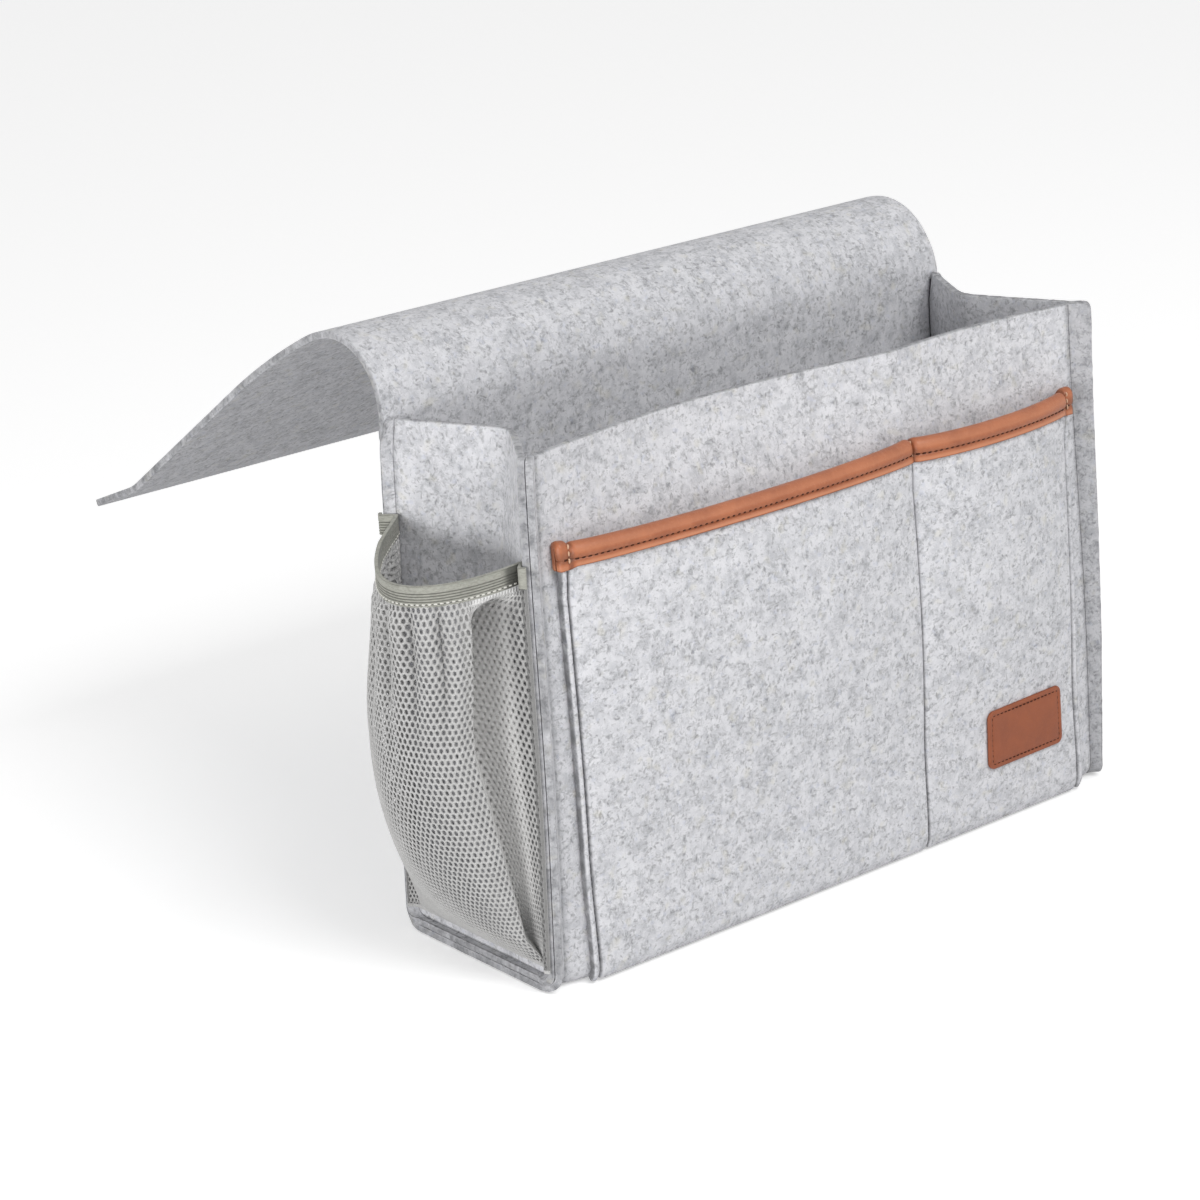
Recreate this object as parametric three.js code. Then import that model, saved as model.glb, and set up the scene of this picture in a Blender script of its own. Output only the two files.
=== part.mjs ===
// Felt bedside organizer with a mattress flap, in millimetres.
// X runs right along the front, Y to the back, Z up. The origin is the middle of the base's underside.
import * as THREE from 'three';

// Felt sheet
const FELT = 3.2;
const GAP = 0.3;
const HALF_FELT = FELT / 2;
const LAYER_STEP = FELT + GAP;

// Body, measured between the middles of its felt walls
const HALF_WIDTH_BASE = 163;
const HALF_WIDTH_TOP = 157;
const DEPTH = 97;
const HEIGHT = 231;
const FRONT_LEAN = 5;
const LEAN_START = 60;
const FRONT_FOLD_RADIUS = 6.5;
const BACK_FOLD_RADIUS = 8;
const FOLD_END = 1.5;
const WALL_FOOT = 14;

// Seams: gusset and sheet edges turned outward together
const SEAM_WIDTH = 4.8;
const SEAM_WIDTH_RIGHT_FOOT = 4.1;
const SEAM_WIDTH_RIGHT_TOP = 9;
const SEAM_ANGLE = Math.PI / 4;
const SEAM_INSET = 3.7;
const SHEET_TURN = 1.6;
const GUSSET_TURN_RADIUS = 1.8;
const SEAM_TOP_ROUNDING = 4;
const SEAM_OPENING_HEIGHT = 16;
const SEAM_TWIST_ROOM = 1;
const TURN_STEPS = 3;
const FOLD_STEPS = 5;

// How the soft front hangs
const BOW_LEFT = 11;
const BOW_RIGHT = 4;
const BOW_AT_DIVIDER = 3;
const BOW_START = 160;
const BELLY = 4;
const FOOT_BULGE = 3.5;
const FOOT_BULGE_HEIGHT = 60;
const FOOT_BULGE_START = 20;

// Gusset folds
const GUSSETS = {
  left: { side: -1, depth: 21, crease: -5, reach: 43.5, pleat: 0.27, wraps: true },
  right: { side: 1, depth: 19, crease: 6, reach: 27, pleat: 0, wraps: false },
};
const CREASE_ROUNDING = 5;
const FOLD_GROWTH = 1.3;

// Front pockets: one felt panel sewn at both ends, at the divider and along the base
const POCKET_LEFT = -148;
const POCKET_RIGHT = 147;
const POCKET_DIVIDER = 46.5;
const POCKET_TOP = 191.7;
const POCKET_WRAP = 40;
const POCKET_SEAM_INSET = 3.5;
const POCKET_BULGE = 8.5;
const POCKET_BULGE_AT_BASE = 1.5;

// Leather
const LEATHER = 1.2;
const BINDING_HEIGHT = 13;
const BINDING_OVERHANG = 0.6;
const PATCH_WIDTH = 49;
const PATCH_HEIGHT = 28;
const PATCH_CENTRE_X = 107.5;
const PATCH_CENTRE_Z = 43;
const PATCH_CORNER = 3;
const PATCH_THICKNESS = 1.5;

// Mesh side pockets
const MESH = 1;
const MESH_TOP = 177.5;
const MESH_BOTTOM = 11;
const SWELL_HEIGHT = 95;
const PLEAT_GROWTH = 25;
const GATHER = 1.3;
const GATHERS = 7;
const GATHER_LENGTH = 80;
const LOOP_INSET = 4.5;
const LOOP_COLUMNS = 34;
const WRAP_LENGTH = 4;
const EDGE_INSET = 1;
const HUG_REACH = 20;
const ELASTIC = 1.6;
const ELASTIC_HEIGHT = 9.2;
const RIM_SAG = 5;
const RIM_RISE = 2.5;

// Flap, a chain of arcs from just under the top of the back panel to the free edge, with turns in degrees
const FLAP_RISE_TOP = HEIGHT - 2;
const ARCH_RADIUS = 32;
const ARCH_TURN = -98;
const CROWN_RADIUS = 56;
const CROWN_TURN = -17;
const SAG_RADIUS = 470;
const SAG_TURN = -8.8;
const FLAP_SLOPE_LENGTH = 110;
const TONGUE_BEND_RADIUS = 40;
const TONGUE_TURN = 12.5;
const TONGUE_LENGTH = 38;
const TONGUE_CORNER = 6;
const FLAP_OUTREACH = 4;

// Fold lines of the flap, as lengths along it from where the rise ends.
// The tongue folds a little way into its own bend.
const ROOT_FOLD = 6.5;
const CROWN_FOLD = 36;
const SLOPE_FOLD = 80;
const TONGUE_FOLD_INTO_BEND = 2.5;

const RAD = Math.PI / 180;
const BASE_MIDDLE_Z = HALF_FELT;
const BACK_Y = DEPTH / 2;
const FRONT_Y = -DEPTH / 2;

const lerp = (a, b, t) => a + (b - a) * t;
const clamp01 = (t) => Math.min(1, Math.max(0, t));
const ease = (t) => clamp01(t) ** 2 * (3 - 2 * clamp01(t));

// Where an arc of one length ends: it starts along the first axis and turns towards the second
function arcRun(length, turn, heading = 0) {
  const half = turn / 2;
  const chord = half === 0 ? length : length * Math.sin(half) / half;
  return [chord * Math.cos(heading + half), chord * Math.sin(heading + half)];
}
const steps = (a, b, count) => Array.from({ length: count + 1 }, (_, i) => lerp(a, b, i / count));

const FELT_MATERIAL = new THREE.MeshStandardMaterial({ color: 0xc6c7cb, roughness: 0.95, metalness: 0 });
const LEATHER_MATERIAL = new THREE.MeshStandardMaterial({ color: 0xa8653f, roughness: 0.5, metalness: 0 });
const MESH_MATERIAL = new THREE.MeshStandardMaterial({ color: 0xa9a8a2, roughness: 0.85, metalness: 0 });
const ELASTIC_MATERIAL = new THREE.MeshStandardMaterial({ color: 0x8b8c86, roughness: 0.8, metalness: 0 });

// Thickens a surface of four-sided cells into one closed solid.
// half gives half the thickness at each point.
function thicken(points, cells, half) {
  const normals = points.map(() => new THREE.Vector3());
  for (const [a, b, c, d] of cells) {
    const across = points[c].clone().sub(points[a]);
    const along = points[d].clone().sub(points[b]);
    const normal = across.cross(along);
    for (const corner of [a, b, c, d]) {
      normals[corner].add(normal);
    }
  }
  const count = points.length;
  const positions = new Float32Array(count * 6);
  points.forEach((point, i) => {
    const reach = normals[i].normalize().multiplyScalar(half(i));
    point.clone().add(reach).toArray(positions, i * 3);
    point.clone().sub(reach).toArray(positions, (count + i) * 3);
  });
  const index = [];
  const open = new Map();
  for (const cell of cells) {
    const [a, b, c, d] = cell;
    index.push(a, b, c, a, c, d);
    index.push(count + a, count + c, count + b, count + a, count + d, count + c);
    cell.forEach((from, k) => {
      const to = cell[(k + 1) % 4];
      const back = `${to}_${from}`;
      if (open.has(back)) {
        open.delete(back);
      } else {
        open.set(`${from}_${to}`, [from, to]);
      }
    });
  }
  for (const [from, to] of open.values()) {
    index.push(from, count + from, count + to, from, count + to, to);
  }
  const geometry = new THREE.BufferGeometry();
  geometry.setAttribute('position', new THREE.BufferAttribute(positions, 3));
  geometry.setIndex(index);
  geometry.computeVertexNormals();
  return geometry;
}

// Rows of points become a solid sheet. Its first side is on the left of a walk along a row.
function sheet(rows, half, flip = false) {
  const width = rows[0].length;
  const cells = [];
  for (let r = 0; r + 1 < rows.length; r += 1) {
    for (let c = 0; c + 1 < width; c += 1) {
      const corner = r * width + c;
      const cell = [corner, corner + 1, corner + width + 1, corner + width];
      cells.push(flip ? cell.reverse() : cell);
    }
  }
  const thickness = typeof half === 'function' ? (i) => half(Math.floor(i / width)) : () => half;
  return thicken(rows.flat(), cells, thickness);
}

const halfWidth = (z) => lerp(HALF_WIDTH_BASE, HALF_WIDTH_TOP, z / HEIGHT);
const frontCornerY = (z) => FRONT_Y + FRONT_LEAN * ease((z - LEAN_START) / (HEIGHT - LEAN_START));

// The front's lower edge stands forward of its corners
function footBulge(x, z) {
  const inside = halfWidth(z) - SEAM_INSET - Math.abs(x);
  const across = Math.sin(Math.PI / 2 * clamp01(inside / FOOT_BULGE_START));
  return FOOT_BULGE * across * (1 - ease(z / FOOT_BULGE_HEIGHT));
}

// The front's own shape: a belly low down, and a bow to the inside along the top edge
function frontY(x, z) {
  const reach = halfWidth(z) - SEAM_INSET;
  const inside = clamp01((reach - Math.abs(x)) / reach);
  const belly = BELLY * Math.sin(Math.PI * clamp01(z / HEIGHT)) * Math.sin(inside * Math.PI / 2);
  const left = x < POCKET_DIVIDER;
  const from = left ? -reach : POCKET_DIVIDER;
  const to = left ? POCKET_DIVIDER : reach;
  const share = clamp01((x - from) / (to - from));
  const pulled = BOW_AT_DIVIDER * (left ? share : 1 - share);
  const bow = pulled + (left ? BOW_LEFT : BOW_RIGHT) * Math.sin(Math.PI * share);
  return frontCornerY(z) - footBulge(x, z) - belly + bow * ease((z - BOW_START) / (HEIGHT - BOW_START));
}

// Stations down the front, round the base and up the back: place, outward direction and seam angle
const station = (y, z, outY, outZ, angle) => ({ y, z, outY, outZ, angle });
const frontStation = (z) => station(frontCornerY(z), z, -1, 0, SEAM_ANGLE);

function foldStations(centreY, radius, from, to, atBase) {
  const centreZ = BASE_MIDDLE_Z + radius;
  return steps(from, to, FOLD_STEPS).map((turn) => {
    const share = Math.abs(turn - atBase) / (Math.PI / 2);
    const angle = SEAM_ANGLE * ease(share ** 1.3);
    const outY = Math.cos(turn);
    const outZ = Math.sin(turn);
    return station(centreY + radius * outY, centreZ + radius * outZ, outY, outZ, angle);
  });
}

const DOWN = -Math.PI / 2;
const FRONT_FOLD_TOP = BASE_MIDDLE_Z + FRONT_FOLD_RADIUS;
const BACK_FOLD_TOP = BASE_MIDDLE_Z + BACK_FOLD_RADIUS;
const frontFold = foldStations(FRONT_Y + FRONT_FOLD_RADIUS, FRONT_FOLD_RADIUS, -Math.PI, DOWN, DOWN);
const backFold = foldStations(BACK_Y - BACK_FOLD_RADIUS, BACK_FOLD_RADIUS, DOWN, 0, DOWN);

function backStation(z) {
  const opening = ease((z - (HEIGHT - SEAM_OPENING_HEIGHT)) / SEAM_OPENING_HEIGHT);
  return station(BACK_Y, z, 1, 0, SEAM_ANGLE * (1 - opening));
}

// A seam is rounded off at its top. The right front one widens towards it.
function seamWidth(side, at) {
  const widening = lerp(SEAM_WIDTH_RIGHT_FOOT, SEAM_WIDTH_RIGHT_TOP, clamp01(at.z / HEIGHT));
  const full = side > 0 && at.outY < 0 ? widening : SEAM_WIDTH;
  const above = at.rounded ? clamp01((at.z - (HEIGHT - SEAM_TOP_ROUNDING)) / SEAM_TOP_ROUNDING) : 0;
  return full - SEAM_TOP_ROUNDING * (1 - Math.sqrt(1 - above * above)) * 0.8;
}

// The sheet's edge in a seam, as outward steps [along X, along the station's outward direction]
function sheetEdge(angle, width) {
  const turn = steps(0, 1, TURN_STEPS).map((share) => {
    const [n, out] = arcRun(SHEET_TURN * share, angle * share);
    return [n - SEAM_INSET, out];
  });
  const [n, out] = turn[TURN_STEPS];
  const rest = width - n * Math.cos(angle) - out * Math.sin(angle);
  return [...turn, [n + rest * Math.cos(angle), out + rest * Math.sin(angle)]];
}

// The gusset's edge in the same seam, one layer further inside
function gussetEdge(angle, width) {
  const start = sheetEdge(angle, width)[TURN_STEPS];
  const step = LAYER_STEP + SEAM_TWIST_ROOM * Math.sin(angle * Math.PI / SEAM_ANGLE);
  const n = start[0] + step * Math.sin(angle);
  const out = start[1] - step * Math.cos(angle);
  const corner = out - n * Math.tan(angle);
  const bend = Math.PI / 2 - angle;
  const tangent = GUSSET_TURN_RADIUS * Math.tan(bend / 2);
  const turn = steps(0, bend, TURN_STEPS).map((t) => [
    GUSSET_TURN_RADIUS * (1 - Math.cos(t)),
    corner - tangent + GUSSET_TURN_RADIUS * Math.sin(t),
  ]);
  const [endN, endOut] = turn[TURN_STEPS];
  const rest = width - endN * Math.cos(angle) - endOut * Math.sin(angle);
  return [...turn, [endN + rest * Math.cos(angle), endOut + rest * Math.sin(angle)]];
}

const edgePoint = (side, at, [n, out]) => new THREE.Vector3(
  side * (halfWidth(at.z) + n),
  at.y + at.outY * out,
  at.z + at.outZ * out,
);

// One row of the body sheet: left seam edge, the panel itself, right seam edge
function bodyRow(at, columns, panelY) {
  const [left, right] = [-1, 1].map((side) => {
    const edge = sheetEdge(at.angle, seamWidth(side, at));
    return edge.map((step) => edgePoint(side, at, step));
  });
  const reach = halfWidth(at.z) - SEAM_INSET;
  const inner = steps(-reach, reach, columns).slice(1, -1);
  const panel = inner.map((x) => new THREE.Vector3(x, panelY ? panelY(x, at) : at.y, at.z));
  return [...left.reverse(), ...panel, ...right];
}

const rounded = (at) => ({ ...at, rounded: true });

// Heights at which the walls are drawn: closer together towards the top, where they bend most
const OPENING_FOOT = HEIGHT - SEAM_OPENING_HEIGHT;
const OPENING_HEIGHTS = steps(OPENING_FOOT, HEIGHT, 4);
const LOWER_HEIGHTS = steps(0, 1, 8).map((t) => lerp(WALL_FOOT, OPENING_FOOT, 1 - (1 - t) ** 1.4));
const WALL_HEIGHTS = [...LOWER_HEIGHTS, ...OPENING_HEIGHTS.slice(1)];

const FRONT_COLUMNS = 22;

function frontPanel() {
  const rows = [FRONT_FOLD_TOP + FOLD_END + GAP, ...WALL_HEIGHTS].map((z) => rounded(frontStation(z)));
  return sheet(rows.map((at) => bodyRow(at, FRONT_COLUMNS, (x) => frontY(x, at.z))), HALF_FELT);
}

// The folds end in a short straight piece on both sides, and the base lies between them
const baseStation = (y) => station(y, BASE_MIDDLE_Z, 0, -1, 0);
const FLAT_FRONT = FRONT_Y + FRONT_FOLD_RADIUS + FOLD_END;
const FLAT_BACK = BACK_Y - BACK_FOLD_RADIUS - FOLD_END;
const footY = (x, at) => at.y - footBulge(x, at.z);

function frontFoldPiece() {
  const stations = [frontStation(FRONT_FOLD_TOP + FOLD_END), ...frontFold, baseStation(FLAT_FRONT)];
  return sheet(stations.map((at) => bodyRow(at, FRONT_COLUMNS, footY)), HALF_FELT, true);
}

function basePanel() {
  const rows = [
    bodyRow(baseStation(FLAT_FRONT + GAP), FRONT_COLUMNS, footY),
    bodyRow(baseStation(FLAT_BACK - GAP), FRONT_COLUMNS),
  ];
  return sheet(rows, HALF_FELT, true);
}

function backFoldPiece() {
  const stations = [baseStation(FLAT_BACK), ...backFold, backStation(BACK_FOLD_TOP + FOLD_END)];
  return sheet(stations.map((at) => bodyRow(at, 2)), HALF_FELT, true);
}

function backPanel(top) {
  const foot = BACK_FOLD_TOP + FOLD_END + GAP;
  const rows = [foot, HEIGHT / 2, ...OPENING_HEIGHTS, top].map(backStation);
  return sheet(rows.map((at) => bodyRow(at, 2)), HALF_FELT, true);
}

// How far a gusset's fold comes in at a place
function foldIn(gusset, y, z, frontEnd, backEnd) {
  const end = y < gusset.crease ? frontEnd : backEnd;
  const rounded = (distance) => Math.hypot(distance, CREASE_ROUNDING) - CREASE_ROUNDING;
  const share = clamp01(1 - rounded(y - gusset.crease) / rounded(end - gusset.crease));
  return gusset.depth * share * clamp01(z / HEIGHT) ** FOLD_GROWTH;
}

function gussetPanel(gusset) {
  const columns = 14;
  const heights = [...WALL_HEIGHTS].reverse();
  const front = [...heights.map((z) => rounded(frontStation(z))), ...frontFold];
  const back = [...heights.map((z) => rounded(backStation(z))), ...[...backFold].reverse()];
  const edgeAt = (at) => gussetEdge(at.angle, seamWidth(gusset.side, at));
  const points = [];
  const cells = [];
  const add = (point) => points.push(point) - 1;
  const ring = [];
  const grid = front.map((from, r) => {
    const to = back[r];
    const start = edgePoint(gusset.side, from, edgeAt(from)[0]);
    const end = edgePoint(gusset.side, to, edgeAt(to)[0]);
    return steps(0, 1, columns).map((share) => {
      const point = start.clone().lerp(end, share);
      const inward = foldIn(gusset, point.y, point.z, start.y, end.y);
      point.x -= gusset.side * inward;
      return add(point);
    });
  });
  for (let r = 0; r + 1 < grid.length; r += 1) {
    for (let c = 0; c < columns; c += 1) {
      cells.push([grid[r][c], grid[r][c + 1], grid[r + 1][c + 1], grid[r + 1][c]]);
    }
  }
  const last = grid.length - 1;
  front.forEach((at, r) => ring.push({ at, first: grid[r][0] }));
  for (let c = 1; c < columns; c += 1) {
    const y = points[grid[last][c]].y;
    ring.push({ at: baseStation(y), first: grid[last][c] });
  }
  [...back].reverse().forEach((at, r) => ring.push({ at, first: grid[last - r][columns] }));
  const strips = ring.map(({ at, first }) => {
    const edge = edgeAt(at).slice(1);
    return [first, ...edge.map((step) => add(edgePoint(gusset.side, at, step)))];
  });
  for (let s = 0; s + 1 < strips.length; s += 1) {
    for (let k = 0; k + 1 < strips[s].length; k += 1) {
      cells.push([strips[s][k], strips[s + 1][k], strips[s + 1][k + 1], strips[s][k + 1]]);
    }
  }
  const facing = gusset.side < 0 ? cells : cells.map((cell) => [...cell].reverse());
  return thicken(points, facing, () => HALF_FELT);
}

const BINDING_OFFSET = HALF_FELT + GAP + LEATHER / 2;
const BINDING_FOOT = POCKET_TOP + BINDING_OFFSET + LEATHER / 2 - BINDING_HEIGHT;
const BINDING_HEIGHTS = steps(BINDING_FOOT, POCKET_TOP, 3);

// How far the pocket panel stands off the front, between its seams
function pocketBulge(x, z) {
  const left = x < POCKET_DIVIDER;
  const from = left ? POCKET_LEFT + POCKET_SEAM_INSET : POCKET_DIVIDER;
  const to = left ? POCKET_DIVIDER : POCKET_RIGHT - POCKET_SEAM_INSET;
  const share = clamp01((x - from) / (to - from));
  const across = Math.sin(Math.PI * share) ** 0.6;
  const up = ease((z - FRONT_FOLD_TOP) / (POCKET_TOP - FRONT_FOLD_TOP));
  const room = clamp01((z - FRONT_FOLD_TOP) / 12);
  return across * room * lerp(POCKET_BULGE_AT_BASE, POCKET_BULGE, up);
}

// Near the top the panel also leaves room for the leather behind it
function pocketY(x, z) {
  const bindingRoom = (LEATHER + GAP) * ease((z - BINDING_FOOT) / BINDING_HEIGHT + 1);
  return frontY(x, z) - LAYER_STEP - bindingRoom - pocketBulge(x, z);
}

const pocketColumns = () => [
  POCKET_LEFT,
  ...steps(POCKET_LEFT + POCKET_SEAM_INSET, POCKET_DIVIDER, 14),
  ...steps(POCKET_DIVIDER, POCKET_RIGHT - POCKET_SEAM_INSET, 8).slice(1),
  POCKET_RIGHT,
];

// The panel's lower edge is laid a little way round the front fold
function pocketPanel() {
  const round = FRONT_FOLD_RADIUS + LAYER_STEP;
  const wrap = steps(POCKET_WRAP, 0, 3).slice(0, -1).map((turn) => pocketColumns().map((x) => {
    const back = round * (1 - Math.cos(turn * RAD));
    const down = round * Math.sin(turn * RAD);
    return new THREE.Vector3(x, pocketY(x, FRONT_FOLD_TOP) + back, FRONT_FOLD_TOP - down);
  }));
  const heights = [...steps(FRONT_FOLD_TOP, BINDING_FOOT, 9), ...BINDING_HEIGHTS.slice(1)];
  const rows = heights.map((z) => pocketColumns().map((x) => new THREE.Vector3(x, pocketY(x, z), z)));
  return sheet([...wrap, ...rows], HALF_FELT);
}

// Leather folded over the pocket's top edge, both legs of one height
function pocketBinding() {
  const offset = BINDING_OFFSET;
  const legs = BINDING_HEIGHTS;
  const crown = steps(0, Math.PI, 6).slice(1, -1);
  const path = [
    ...legs.map((z) => [-offset, z]),
    ...crown.map((turn) => [-offset * Math.cos(turn), POCKET_TOP + offset * Math.sin(turn)]),
    ...[...legs].reverse().map((z) => [offset, z]),
  ];
  const columns = pocketColumns();
  columns[0] -= BINDING_OVERHANG;
  columns[columns.length - 1] += BINDING_OVERHANG;
  const rows = path.map(([out, z]) => columns.map((x) => {
    const y = pocketY(Math.min(POCKET_RIGHT, Math.max(POCKET_LEFT, x)), Math.min(z, POCKET_TOP));
    return new THREE.Vector3(x, y + out, z);
  }));
  return sheet(rows, LEATHER / 2);
}

// A blank leather patch with rounded corners, lying on the right pocket
function leatherPatch() {
  const cornerCut = (toEdge) => {
    const into = clamp01(1 - toEdge / PATCH_CORNER);
    return PATCH_CORNER * (1 - Math.sqrt(1 - into * into));
  };
  const halfHeight = PATCH_HEIGHT / 2;
  const arc = steps(0, 1, 4).map((t) => PATCH_CORNER * (1 - Math.cos(t * Math.PI / 2)));
  const heights = [...arc.map((t) => t - halfHeight), ...arc.map((t) => halfHeight - t).reverse()];
  const rows = heights.map((height) => {
    const reach = PATCH_WIDTH / 2 - cornerCut(halfHeight - Math.abs(height));
    return steps(-reach, reach, 6).map((across) => {
      const x = PATCH_CENTRE_X + across;
      const z = PATCH_CENTRE_Z + height;
      return new THREE.Vector3(x, pocketY(x, z) - HALF_FELT - GAP - PATCH_THICKNESS / 2, z);
    });
  });
  return sheet(rows, PATCH_THICKNESS / 2);
}

// How far a side pocket's rim hangs down at a share of its way round, and how it rises to the back
const rimDrop = (share) => RIM_SAG * Math.sin(Math.PI * share) - RIM_RISE * share;

// The pocket's plan at a height, as [out from the gusset, share of the way from front to back].
// With a pleat, the rim bulges towards the front and the mesh below doubles back by the front seam.
function loopPlan({ reach, pleat }, z, across) {
  const slack = ease((MESH_TOP - z) / PLEAT_GROWTH);
  const swell = Math.sin(Math.PI / 2 * clamp01((z - MESH_BOTTOM) / SWELL_HEIGHT)) ** 0.73;
  const fullness = pleat > 0 ? lerp(0.8, 0.5, slack) : 0.9;
  const lead = pleat > 0 ? lerp(1.6, 1.1, slack) : 1;
  const controls = steps(0, 1, 26).map((t) => {
    const turn = Math.PI * t ** 1.6;
    const bulge = Math.max(0, Math.sin(turn)) ** fullness;
    const tuck = t < 0.5 ? Math.sin(Math.PI * clamp01(2 * bulge) ** 0.6) : 0;
    const along = (turn / Math.PI) ** lead + pleat * slack * swell ** 2 * tuck;
    return new THREE.Vector2(reach * swell * bulge, along);
  });
  return new THREE.SplineCurve(controls).getSpacedPoints(across);
}

// The edge of a layer that is laid on the gusset's edge, from the seam inwards.
// One that wraps is carried round the gusset's raw edge into the seam.
function wrappedEdge(clear, width, wraps) {
  const tip = gussetEdge(SEAM_ANGLE, width)[TURN_STEPS + 1];
  const [alongN, alongOut] = [Math.cos(SEAM_ANGLE), Math.sin(SEAM_ANGLE)];
  const beyond = clear - HALF_FELT;
  const place = (along, off) => [
    tip[0] + alongN * along + alongOut * off,
    tip[1] + alongOut * along - alongN * off,
  ];
  if (!wraps) {
    return [place(-EDGE_INSET, clear), place(-WRAP_LENGTH, clear)];
  }
  return [
    place(beyond, HALF_FELT - LAYER_STEP / 2),
    place(beyond, clear - 1),
    place(beyond - 0.8, clear),
    place(-WRAP_LENGTH, clear),
  ];
}

// Small gathers hang from the elastic and fade down the cloth
function gather(share, z) {
  const below = clamp01((MESH_TOP - z) / GATHER_LENGTH);
  const wave = Math.sin(2 * Math.PI * GATHERS * share) * Math.sin(Math.PI * share);
  return GATHER * Math.sin(Math.PI * below) * wave;
}

// One row of a side pocket: the wrapped front edge, the loop, the wrapped back edge
function pocketRow(gusset, z, planZ, clear, rise, rippled) {
  const { side } = gusset;
  const first = frontCornerY(z) + LOOP_INSET;
  const last = BACK_Y - LOOP_INSET;
  const lift = (share) => rise - rimDrop(share) * (z / MESH_TOP) ** 3;
  const plan = loopPlan(gusset, planZ, LOOP_COLUMNS);
  const loop = plan.map((at, i) => {
    const share = i / LOOP_COLUMNS;
    const before = plan[Math.max(0, i - 1)];
    const after = plan[Math.min(LOOP_COLUMNS, i + 1)];
    const across = new THREE.Vector2((last - first) * (after.y - before.y), before.x - after.x).normalize();
    const ripple = rippled ? gather(share, z) * clamp01(at.x / 10) : 0;
    const y = lerp(first, last, at.y) + across.y * ripple;
    const hugging = clamp01(1 - at.x / HUG_REACH);
    const inner = foldIn(gusset, y, z, first - HALF_FELT, last + HALF_FELT) * hugging;
    const out = clear - inner + at.x + across.x * ripple;
    return new THREE.Vector3(side * (halfWidth(z) + out), y, z + lift(share));
  });
  const edgeRow = (at, share) => wrappedEdge(clear, seamWidth(side, at), gusset.wraps).map((step) => {
    const point = edgePoint(side, at, step);
    point.z += lift(share);
    return point;
  });
  return [...edgeRow(frontStation(z), 0), ...loop, ...edgeRow(backStation(z), 1).reverse()];
}

function meshPouch(gusset) {
  const clear = HALF_FELT + GAP + MESH / 2;
  const heights = steps(0, 1, 12).map((t) => lerp(MESH_BOTTOM, MESH_TOP, t ** 1.25));
  return sheet(heights.map((z) => pocketRow(gusset, z, z, clear, 0, true)), MESH / 2, gusset.side > 0);
}

// The elastic stands on the mesh's top edge
function elasticBand(gusset) {
  const clear = HALF_FELT + GAP + ELASTIC / 2;
  const rises = steps(GAP, GAP + ELASTIC_HEIGHT, 1);
  const rows = rises.map((rise) => pocketRow(gusset, MESH_TOP, MESH_TOP, clear, rise, false));
  return sheet(rows, ELASTIC / 2, gusset.side > 0);
}

// The flap's middle line: a place and direction for each length along it
function flapLine() {
  const pieces = [
    { radius: ARCH_RADIUS, turn: ARCH_TURN },
    { radius: CROWN_RADIUS, turn: CROWN_TURN },
    { radius: SAG_RADIUS, turn: SAG_TURN },
    { length: FLAP_SLOPE_LENGTH, turn: 0 },
    { radius: TONGUE_BEND_RADIUS, turn: TONGUE_TURN },
    { length: TONGUE_LENGTH, turn: 0 },
  ];
  let y = BACK_Y;
  let z = FLAP_RISE_TOP;
  let heading = Math.PI / 2;
  let from = 0;
  return pieces.map((piece) => {
    const turn = piece.turn * RAD;
    const length = piece.length ?? piece.radius * Math.abs(turn);
    const entry = { from, length, y, z, heading, turn };
    const [alongY, alongZ] = arcRun(length, turn, heading);
    y += alongY;
    z += alongZ;
    heading += turn;
    from += length;
    return entry;
  });
}

const FLAP_LINE = flapLine();
const FLAP_LENGTH = FLAP_LINE.reduce((sum, piece) => sum + piece.length, 0);
const TONGUE_FOLD = FLAP_LINE.at(-2).from + TONGUE_FOLD_INTO_BEND;

function flapPoint(length) {
  const piece = FLAP_LINE.findLast((candidate) => candidate.from <= length) ?? FLAP_LINE[0];
  const run = length - piece.from;
  const [alongY, alongZ] = arcRun(run, piece.turn * run / piece.length, piece.heading);
  return { y: piece.y + alongY, z: piece.z + alongZ };
}

const FLAP_HALF_WIDTH = halfWidth(HEIGHT) + FLAP_OUTREACH;

// A flap piece starts in a round nose centred on its own fold line and ends square before the next one
function flapPiece(from, to, corner = 0) {
  const nose = steps(15 * RAD, Math.PI / 2, 4).map((turn) => ({
    at: from - HALF_FELT * Math.cos(turn),
    half: HALF_FELT * Math.sin(turn),
  }));
  const stops = steps(from, to, Math.max(3, Math.round((to - from) / 6))).slice(1);
  const rows = [...nose, ...stops.map((at) => ({ at, half: HALF_FELT }))];
  const turns = corner > 0 ? steps(0, Math.PI / 2, 4) : [Math.PI / 2];
  const right = turns.map((turn) => ({
    x: FLAP_HALF_WIDTH - corner * (1 - Math.sin(turn)),
    cut: corner * (1 - Math.cos(turn)),
  }));
  const columns = [...right.map(({ x, cut }) => ({ x: -x, cut })).reverse(), ...right];
  const points = rows.map((row) => columns.map(({ x, cut }) => {
    const share = clamp01((row.at - from) / (to - from));
    const place = flapPoint(row.at - cut * share ** 4);
    return new THREE.Vector3(x, place.y, place.z);
  }));
  return sheet(points, (r) => rows[r].half, true);
}

const pieceEnd = (foldLine) => foldLine - HALF_FELT - GAP;

const organizer = new THREE.Group();

function add(name, geometry, material) {
  const mesh = new THREE.Mesh(geometry, material);
  mesh.name = name;
  organizer.add(mesh);
}

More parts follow.
